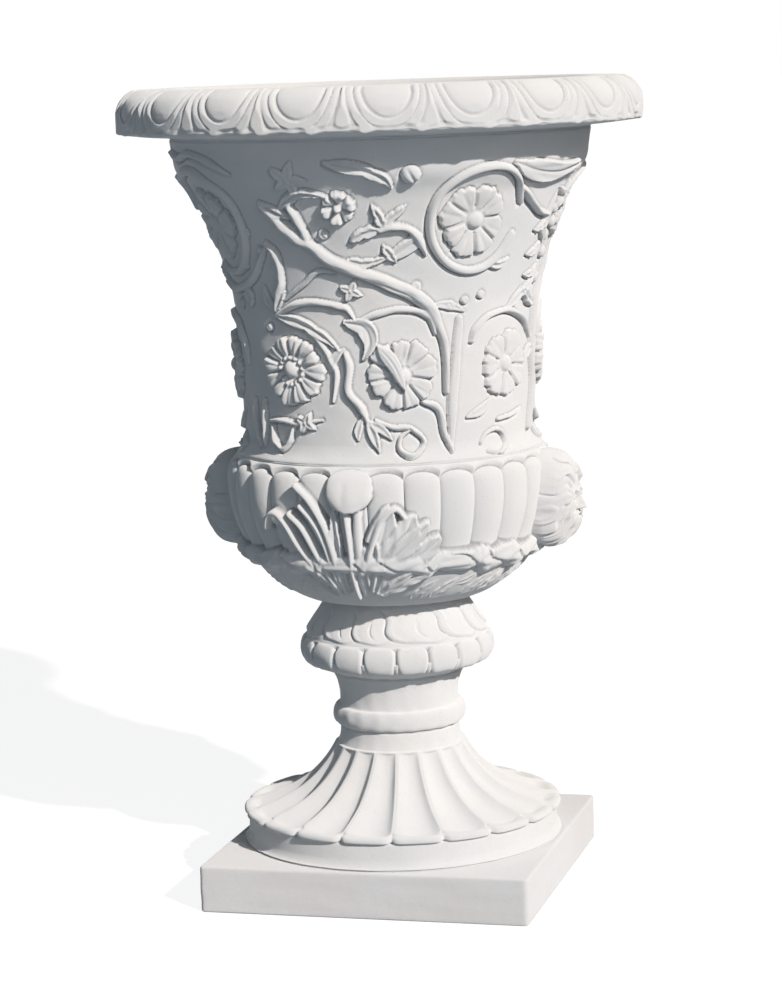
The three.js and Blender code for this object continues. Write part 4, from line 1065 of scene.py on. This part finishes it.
def make_plinth(stone):
    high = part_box("plinth")[1]
    half, top = high.x / MM, high.z / MM - SPIGOT_RISE
    bore = [
        (SPIGOT, top + SPIGOT_RISE),
        (BORE, top + SPIGOT_RISE),
        (BORE, POCKET_DEPTH),
        (POCKET, POCKET_DEPTH),
        (POCKET, 0),
    ]
    steps = np.linspace(0, 1, round(PLINTH_RINGS * FINENESS) + 1)[1:]
    rows = [(inset, height, SPIGOT, 0.0) for inset, height in plinth_side(top)]
    rows += [(PLINTH_EDGE, top, SPIGOT, share) for share in steps]
    rows += [(0, height, radius, 1.0) for radius, height in bore]
    rows += [(PLINTH_EDGE, 0.0, POCKET, share) for share in steps[::-1]]
    columns = round(PLINTH_COLUMNS * FINENESS)
    points = []
    for inset, height, inner, share in rows:
        square = rounded_square(half - inset, PLINTH_CORNER - inset, columns, PLINTH_BEND)
        way = np.arctan2(square[:, 1], square[:, 0])
        circle = inner * np.stack([np.cos(way), np.sin(way)], 1)
        ring = square * (1 - share) + circle * share
        points.append(np.column_stack([ring, np.full(len(ring), height)]))
    points = np.array(points)
    angle = np.degrees(np.arctan2(points[..., 0], -points[..., 1]))
    wave = ripple(angle, points[..., 2] * 3, 23, PLINTH_RIPPLE)
    inside = 1 - PLINTH_SETBACK / half - wave / half * (points[..., 2] > 1) * (points[..., 2] < top - 1)
    points[..., :2] *= inside[..., None]
    mesh = grid_mesh("plinth_casting", points, wraps_rows=True)
    add_attribute(mesh, "hollow_shade", np.zeros(points.shape[:2]))
    add_piece("plinth_casting", mesh, stone, ["plinth"])


def plinth_side(top):
    """The plinth's side as (inset, height), with worn edges."""
    bend = np.linspace(0, math.pi / 2, 5)
    low = [(PLINTH_EDGE * (1 - math.sin(t)), PLINTH_EDGE * (1 - math.cos(t))) for t in bend]
    high = [(PLINTH_EDGE * (1 - math.cos(t)), top - PLINTH_EDGE * (1 - math.sin(t))) for t in bend]
    return low + [(0, z) for z in np.linspace(PLINTH_EDGE, top - PLINTH_EDGE, 16)[1:-1]] + high


# Masks: a bearded classical head of a plain general kind. Places are (across, up) from its middle.
MASK_ROOT = 150.0
MASK_MIDDLE = 97.0  # height above the bowl's underside
MASK_HALF = (40.0, 48.0)
MASK_DEPTH = 38.0
MASK_BACK = 22.0
MASK_SQUARENESS = 0.8
MASK_GRID = (300, 460)  # rows and columns
# depth at which a hollow of the head gets the most painted shade
MASK_HOLLOW_DEPTH = 2.0
BROW = 6.0
EYE = (9.2, 1.6)
NOSE_BASE = -12.0
MOUTH = -18.5
CHIN = -30.0


def hump(across, up, place, width, height):
    return fall(np.hypot((across - place[0]) / width, (up - place[1]) / height), 1)


def arc_line(across, up, place, half, bend, thickness):
    """A ridge along an arch over a place."""
    t = (across - place[0]) / half
    line = place[1] + bend * (1 - t ** 2)
    return fall(up - line, thickness) * ramp(1.25 - np.abs(t), 0, 0.35)


def face_form(across, up):
    """How far the face stands out from a plain dome."""
    side = np.abs(across)
    form = 1.5 * hump(across, up, (0, 16), 16, 8)
    form += 3.0 * arc_line(side, up, (9.5, BROW - 1), 8.5, 2.2, 2.6)
    form -= 5.6 * hump(side, up, (EYE[0] - 0.6, EYE[1] + 0.6), 6.6, 4.4)
    form += 3.4 * dome(np.hypot((side - EYE[0]) / 5.6, (up - EYE[1]) / 3.6))
    form += 1.5 * arc_line(side, up, EYE, 6.0, 3.1, 0.75)
    form += 1.0 * arc_line(side, up, EYE, 5.6, -2.5, 0.75)
    along = np.clip((BROW - 1 - up) / (BROW - 1 - NOSE_BASE - 1.5), 0, 1)
    on_nose = ramp(up, NOSE_BASE - 1.0, NOSE_BASE + 1.6) * ramp(BROW + 3 - up, 0, 4)
    nose = (3.2 + 7.5 * along) * fall(side, 2.4 + 1.5 * along)
    wings = 3.6 * hump(side, up, (4.3, NOSE_BASE + 2.0), 2.2, 2.3)
    form += (nose + wings) * on_nose
    form -= 1.6 * hump(side, up, (2.4, NOSE_BASE - 0.6), 1.2, 0.9)
    form += 2.6 * hump(side, up, (14, -5), 6, 7) - 0.8 * hump(side, up, (10, -12), 2.2, 5)
    form += 2.6 * arc_line(across, up, (0, MOUTH + 0.4), 7.5, 1.2, 1.3)
    form += 3.2 * arc_line(across, up, (0, MOUTH - 1.6), 6.2, -1.2, 1.5)
    form -= 2.4 * arc_line(across, up, (0, MOUTH), 7.8, 0.2, 0.6)
    form += 3.0 * hump(across, up, (0, CHIN + 1), 7, 4.5)
    return form


def hair_form(across, up):
    """Locks of hair swept back, a moustache and a beard."""
    side = np.abs(across)
    way = np.arctan2(side, up + 4)
    reach = np.hypot(across / 25, (up + 1) / 27)
    wave = 1.3 * np.sin(5.5 * reach + 2.2 * way) + 0.5 * np.sin(11 * reach)
    locks = np.cos(9 * way + wave)
    strands = np.cos(34 * way + 3 * wave)
    near_face = 1 - 0.8 * ramp(reach, 1.05, 1.6)
    parting = np.abs(np.sin(8 * way + 0.6 * wave)) / 0.2
    broken = ramp(np.sin(7.5 * reach + 2.6 * np.round(8 * way / math.pi)), -0.5, 0.1)
    mane = 4.6 + (1.7 * locks + 0.7 * strands) * near_face
    mane -= 3.4 * fall(parting, 1) * broken * ramp(reach, 1.0, 1.15)
    on_mane = ramp(reach, 0.86, 1.02) * ramp(up, -16, 2)
    curl_wave = 1.2 * np.sin(up / 3.6 + 0.3 * side)
    beard = 3.8 + 2.0 * np.cos(0.52 * side + curl_wave)
    beard += 0.75 * np.cos(1.9 * side + 2 * curl_wave + 0.3 * up)
    jaw = ramp(reach + 0.5 * ramp(-up, 20, 30), 0.74, 0.96)
    on_beard = jaw * ramp(-up, -6, 8)
    t = side / 17
    moustache_line = NOSE_BASE - 2.6 - 8.5 * t ** 1.6
    moustache = fall(up - moustache_line, 2.9 - 1.2 * t) * ramp(1.05 - t, 0, 0.25)
    moustache *= (4.0 + 0.8 * np.cos(2.4 * (up - moustache_line) + 0.5 * side)) * ramp(side, 0.2, 2.2)
    return np.maximum(np.maximum(mane * on_mane, beard * on_beard), moustache)


def make_mask(name, node, turn, stone):
    """The head on one side, turned about the vase's axis from the right-hand side."""
    rows, columns = [round(count * FINENESS) for count in MASK_GRID]
    tilt = np.radians(np.linspace(-89.6, 89.6, rows))[:, None]
    share = np.linspace(-1, 1, columns, endpoint=False)[None, :]
    round_way = math.pi * share * (0.55 + 0.45 * share ** 2)
    flat = np.cos(tilt)
    ball = [flat * np.cos(round_way), flat * np.sin(round_way), np.sin(tilt) + 0 * round_way]
    out, across, up = [np.sign(v) * np.abs(v) ** MASK_SQUARENESS for v in ball]
    across, up = across * MASK_HALF[0], up * MASK_HALF[1]
    front = ramp(out, 0.12, 0.5)
    face = face_form(across, up)
    hair = hair_form(across, up)
    form = np.where(hair > 0.3, np.maximum(hair, face), face) * front
    sides = hair * ramp(out, -0.1, 0.2) * (1 - front)
    x = MASK_ROOT + out * np.where(out > 0, MASK_DEPTH, MASK_BACK) + form + 0.4 * sides
    spread = 1 + (0.5 * hair * ramp(out, -0.1, 0.25) - 1.5) / 46 * np.hypot(ball[1], ball[2]) ** 2
    y, z = across * spread, up * np.minimum(spread, 1.035)
    turned = [x * math.cos(turn) - y * math.sin(turn), x * math.sin(turn) + y * math.cos(turn)]
    points = np.stack([turned[0], turned[1], base_of("bowl") + MASK_MIDDLE + z], -1)
    mesh = grid_mesh(name, points, wraps_rows=False)
    # The head's hollows get painted shade in the stone's colour
    add_attribute(mesh, "hollow_shade", hollows(form, MASK_HOLLOW_DEPTH))
    add_piece(name, mesh, stone, [node])


# Mortar in the joints
MORTAR_SETBACK = 0.15
MORTAR_WIDTH = 14.0
MORTAR_OVERLAP = 0.3
MORTAR_BEDS = [  # bed, radius of the narrower casting at the joint
    ("plinth_bed", 159.5), ("foot_bed", 59.8), ("stem_bed", 65.8),
    ("knop_bed", 67.0), ("bowl_bed", 151.8), ("bell_bed", 206.5),
]


def make_mortar(mortar):
    for node, radius in MORTAR_BEDS:
        low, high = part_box(node)
        bottom, top = low.z / MM - MORTAR_OVERLAP, high.z / MM + MORTAR_OVERLAP
        outer = radius - MORTAR_SETBACK
        inner = outer - MORTAR_WIDTH
        face = profile((outer, 0), [(outer, (top - bottom) / 2)], [(outer, top - bottom)], spacing=1.0)
        back = closing(face, (inner, top - bottom), (inner, 0))
        name = node.replace("_bed", "_mortar")
        mesh = turned_mesh(name, face, back, column_count(36, 14), bottom, uneven(29, 0.12))
        add_piece(name, mesh, mortar, [node])


# Materials

def new_material(name):
    material = bpy.data.materials.new(name)
    material.use_nodes = True
    tree = material.node_tree
    return material, tree, tree.nodes["Principled BSDF"]


def feed(tree, source, socket):
    """Gives a socket what comes out of a node, or a plain colour."""
    if isinstance(source, tuple):
        socket.default_value = (*source, 1)
    else:
        tree.links.new(source, socket)


def noise(tree, scale, detail=4.0, roughness=0.55):
    """A noise texture in the object's own coordinates."""
    coordinates = tree.nodes.new("ShaderNodeTexCoord")
    texture = tree.nodes.new("ShaderNodeTexNoise")
    texture.inputs["Scale"].default_value = scale
    texture.inputs["Detail"].default_value = detail
    texture.inputs["Roughness"].default_value = roughness
    tree.links.new(coordinates.outputs["Object"], texture.inputs["Vector"])
    return texture.outputs["Fac"]


def spread(tree, value, low, high, first, last):
    """Maps a value's range to another, held at its ends."""
    node = tree.nodes.new("ShaderNodeMapRange")
    for socket, number in zip(("From Min", "From Max", "To Min", "To Max"), (low, high, first, last)):
        node.inputs[socket].default_value = number
    tree.links.new(value, node.inputs["Value"])
    return node.outputs["Result"]


def mixed(tree, share, first, last):
    """A mix of two colours, each a colour or a socket."""
    node = tree.nodes.new("ShaderNodeMix")
    node.data_type = "RGBA"
    sockets = [s for s in node.inputs if s.type == "RGBA"]
    for socket, colour in zip(sockets, (first, last)):
        feed(tree, colour, socket)
    feed(tree, share, next(s for s in node.inputs if s.name == "Factor" and s.type == "VALUE"))
    return next(s for s in node.outputs if s.type == "RGBA")


def bump(tree, height, strength, distance, normal=None):
    node = tree.nodes.new("ShaderNodeBump")
    node.inputs["Strength"].default_value = strength
    node.inputs["Distance"].default_value = distance
    tree.links.new(height, node.inputs["Height"])
    if normal:
        tree.links.new(normal, node.inputs["Normal"])
    return node.outputs["Normal"]


STONE_COLOUR = (0.80, 0.782, 0.765)
STONE_COOL = (0.755, 0.752, 0.752)
PLINTH_COLOUR = (0.73, 0.706, 0.694)
# Painted shade: the darker colour mixed into the hollows of the carving
HOLLOW_PAINTED_SHADE = (0.40, 0.40, 0.41)
STONE_SPECK = (0.66, 0.64, 0.61)
STONE_ROUGHNESS = (0.58, 0.74)
STONE_CHALKINESS = 0.85
STONE_SHINE = 0.3
SPECK_SHARE = 0.45
# how much painted shade the deepest hollows get
HOLLOW_SHADE_SHARE = 0.85
CLOUD_SCALE = 9.0  # the scales are of noise, in forms to the metre or so
WEAR_SCALE = 60.0
LUMP_SCALE = 90.0
SPECK_SCALE = 420.0
GRAIN_SCALE = 700.0
STEEL_SCALE = 160.0
POLISH_SCALE = 300.0
RUBBER_SCALE = 200.0
LUMP_DEPTH = 0.0012  # metres, as the next
GRAIN_DEPTH = 0.0004
STEEL = ((0.62, 0.63, 0.64), (0.72, 0.73, 0.74))
STEEL_ROUGHNESS = (0.22, 0.38)
RUBBER = ((0.03, 0.03, 0.033), (0.05, 0.05, 0.053))
RUBBER_ROUGHNESS = 0.7


def stone_material(name, colour, cool):
    material, tree, shader = new_material(name)
    clouds = spread(tree, noise(tree, CLOUD_SCALE), 0.35, 0.7, 0.0, 1.0)
    shade = mixed(tree, clouds, colour, cool)
    specks = spread(tree, noise(tree, SPECK_SCALE, 2.0), 0.62, 0.72, 0.0, SPECK_SHARE)
    shade = mixed(tree, specks, shade, STONE_SPECK)
    # Painted shade: the colour is mixed towards a darker one in the hollows of the carving
    hollow_shade = tree.nodes.new("ShaderNodeAttribute")
    hollow_shade.attribute_name = "hollow_shade"
    depth = spread(tree, hollow_shade.outputs["Fac"], 0.08, 0.95, 0.0, HOLLOW_SHADE_SHARE)
    shade = mixed(tree, depth, shade, HOLLOW_PAINTED_SHADE)
    tree.links.new(shade, shader.inputs["Base Color"])
    rough = spread(tree, noise(tree, WEAR_SCALE), 0.3, 0.7, *STONE_ROUGHNESS)
    tree.links.new(rough, shader.inputs["Roughness"])
    shader.inputs["Specular IOR Level"].default_value = STONE_SHINE
    shader.inputs["Diffuse Roughness"].default_value = STONE_CHALKINESS
    grain = bump(tree, noise(tree, GRAIN_SCALE, 3.0, 0.7), 0.35, GRAIN_DEPTH)
    lumps = bump(tree, noise(tree, LUMP_SCALE, 3.0), 0.3, LUMP_DEPTH, grain)
    tree.links.new(lumps, shader.inputs["Normal"])
    return material


def metal_material():
    material, tree, shader = new_material("stainless_steel")
    shader.inputs["Metallic"].default_value = 1.0
    tone = spread(tree, noise(tree, STEEL_SCALE), 0.35, 0.65, 0.0, 1.0)
    feed(tree, mixed(tree, tone, *STEEL), shader.inputs["Base Color"])
    rough = spread(tree, noise(tree, POLISH_SCALE), 0.3, 0.7, *STEEL_ROUGHNESS)
    feed(tree, rough, shader.inputs["Roughness"])
    return material


def rubber_material():
    material, tree, shader = new_material("black_rubber")
    tone = spread(tree, noise(tree, RUBBER_SCALE), 0.3, 0.7, 0.0, 1.0)
    feed(tree, mixed(tree, tone, *RUBBER), shader.inputs["Base Color"])
    shader.inputs["Roughness"].default_value = RUBBER_ROUGHNESS
    return material


def dress_solids(metal, rubber):
    """Gives the solids that stay as they are their looks."""
    for name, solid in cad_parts.items():
        if name in REPLACED:
            continue
        solid.data.materials.clear()
        solid.data.materials.append(rubber if name == "bowl_seal" else metal)


# Light, floor and camera
FLOOR_HALF = 60.0
FLOOR_COLOUR = (0.19, 0.22, 0.25)
FLOOR_LIFT = 0.90  # light that the camera sees added to the floor
FLOOR_SHARE = 0.28  # share of the light on the floor that the camera sees
WHITE = (1.0, 1.0, 1.0)


def camera_rays(tree):
    """1 for rays from the camera and those that gloss and glass pass on."""
    path = tree.nodes.new("ShaderNodeLightPath")
    total = path.outputs["Is Camera Ray"]
    for name in ("Is Glossy Ray", "Is Transmission Ray"):
        larger = tree.nodes.new("ShaderNodeMath")
        larger.operation = "MAXIMUM"
        tree.links.new(total, larger.inputs[0])
        tree.links.new(path.outputs[name], larger.inputs[1])
        total = larger.outputs[0]
    return total


def join_by_ray(tree, lit, seen, output_name):
    """Joins two shaders: one that lights the object, and one that the camera sees."""
    mix, output = tree.nodes.new("ShaderNodeMixShader"), tree.nodes.new(output_name)
    for source, socket in zip((camera_rays(tree), lit.outputs[0], seen.outputs[0]), mix.inputs):
        tree.links.new(source, socket)
    tree.links.new(mix.outputs[0], output.inputs["Surface"])


def shader_node(tree, kind, colour, strength=None):
    node = tree.nodes.new(kind)
    node.inputs["Color"].default_value = (*colour, 1)
    if strength is not None:
        node.inputs["Strength"].default_value = strength
    return node


def make_world():
    world = bpy.data.worlds.new("studio")
    world.use_nodes = True
    bpy.context.scene.world = world
    tree = world.node_tree
    tree.nodes.clear()
    sky = shader_node(tree, "ShaderNodeBackground", SKY_COLOUR, SKY_STRENGTH)
    white = shader_node(tree, "ShaderNodeBackground", WHITE, 1.0)
    join_by_ray(tree, sky, white, "ShaderNodeOutputWorld")


def make_floor():
    """A plain pale floor that the camera sees as white, with the vase's shadow on it."""
    material = bpy.data.materials.new("floor")
    material.use_nodes = True
    tree = material.node_tree
    tree.nodes.clear()
    pale = shader_node(tree, "ShaderNodeBsdfDiffuse", FLOOR_COLOUR)
    shaded = shader_node(tree, "ShaderNodeBsdfDiffuse", (FLOOR_SHARE, FLOOR_SHARE, FLOOR_SHARE))
    glow = shader_node(tree, "ShaderNodeEmission", WHITE, FLOOR_LIFT)
    seen = tree.nodes.new("ShaderNodeAddShader")
    tree.links.new(shaded.outputs[0], seen.inputs[0])
    tree.links.new(glow.outputs[0], seen.inputs[1])
    join_by_ray(tree, pale, seen, "ShaderNodeOutputMaterial")
    mesh = bpy.data.meshes.new("floor")
    corners = [(x * FLOOR_HALF, y * FLOOR_HALF, 0) for x, y in ((-1, -1), (1, -1), (1, 1), (-1, 1))]
    mesh.from_pydata(corners, [], [(0, 1, 2, 3)])
    mesh.materials.append(material)
    add_object("floor", mesh)


def make_sun():
    lamp = bpy.data.lights.new("sun", "SUN")
    lamp.energy = SUN_STRENGTH
    lamp.angle = math.radians(SUN_ANGLE)
    lamp.color = SUN_COLOUR
    turn = (math.radians(90 - SUN_ELEVATION), 0, math.radians(SUN_AZIMUTH))
    add_object("sun", lamp).rotation_euler = turn


def make_soft_lamp(name, azimuth, elevation, distance, aim, size, power, colour):
    """A square lamp that faces a place on the vase's axis."""
    lamp = bpy.data.lights.new(name, "AREA")
    lamp.size = size
    lamp.energy = power
    lamp.color = colour
    across, up = math.radians(azimuth), math.radians(elevation)
    back = Vector((math.sin(across) * math.cos(up), -math.cos(across) * math.cos(up), math.sin(up)))
    place = Vector((0, 0, aim)) + back * distance
    turn = back.to_track_quat("Z", "Y")
    add_object(name, lamp).matrix_world = Matrix.LocRotScale(place, turn, None)


def turn_both(first, second, angle):
    """Two directions at right angles, turned in their plane from the first towards the second."""
    cos, sin = math.cos(angle), math.sin(angle)
    return first * cos + second * sin, second * cos - first * sin


def make_camera():
    across = math.radians(CAMERA_AZIMUTH)
    right = Vector((math.cos(across), math.sin(across), 0))
    forward = Vector((-math.sin(across), math.cos(across), 0))
    up = Vector((0, 0, 1))
    place = up * CAMERA_HEIGHT - forward * CAMERA_DISTANCE
    yaw, pitch, roll = [math.radians(v) for v in (CAMERA_YAW, CAMERA_PITCH, CAMERA_ROLL)]
    forward, right = turn_both(forward, right, yaw)
    forward, up = turn_both(forward, up, -pitch)
    right, up = turn_both(right, up, roll)
    data = bpy.data.cameras.new("camera")
    data.sensor_width = SENSOR
    data.lens = FOCAL_SHARE * SENSOR
    data.clip_end = 200
    camera = add_object("camera", data)
    camera.matrix_world = Matrix((
        (right.x, up.x, -forward.x, place.x),
        (right.y, up.y, -forward.y, place.y),
        (right.z, up.z, -forward.z, place.z),
        (0, 0, 0, 1),
    ))
    bpy.context.scene.camera = camera


# The whole scene

def build():
    stone = stone_material("cast_stone", STONE_COLOUR, STONE_COOL)
    mortar = stone_material("mortar", STONE_COOL, STONE_COLOUR)
    make_plinth(stone_material("plinth_stone", PLINTH_COLOUR, STONE_COOL))
    for make in (make_foot, make_stem, make_knop, make_bowl, make_bell, make_rim):
        make(stone)
    make_mask("right_mask_head", "right_mask", 0.0, stone)
    make_mask("left_mask_head", "left_mask", math.pi, stone)
    make_mortar(mortar)
    dress_solids(metal_material(), rubber_material())
    make_world()
    make_floor()
    make_sun()
    for lamp in SOFT_LAMPS:
        make_soft_lamp(*lamp)
    make_camera()
    bpy.context.scene.view_settings.view_transform = "Standard"


build()

bpy.context.view_layer.update()
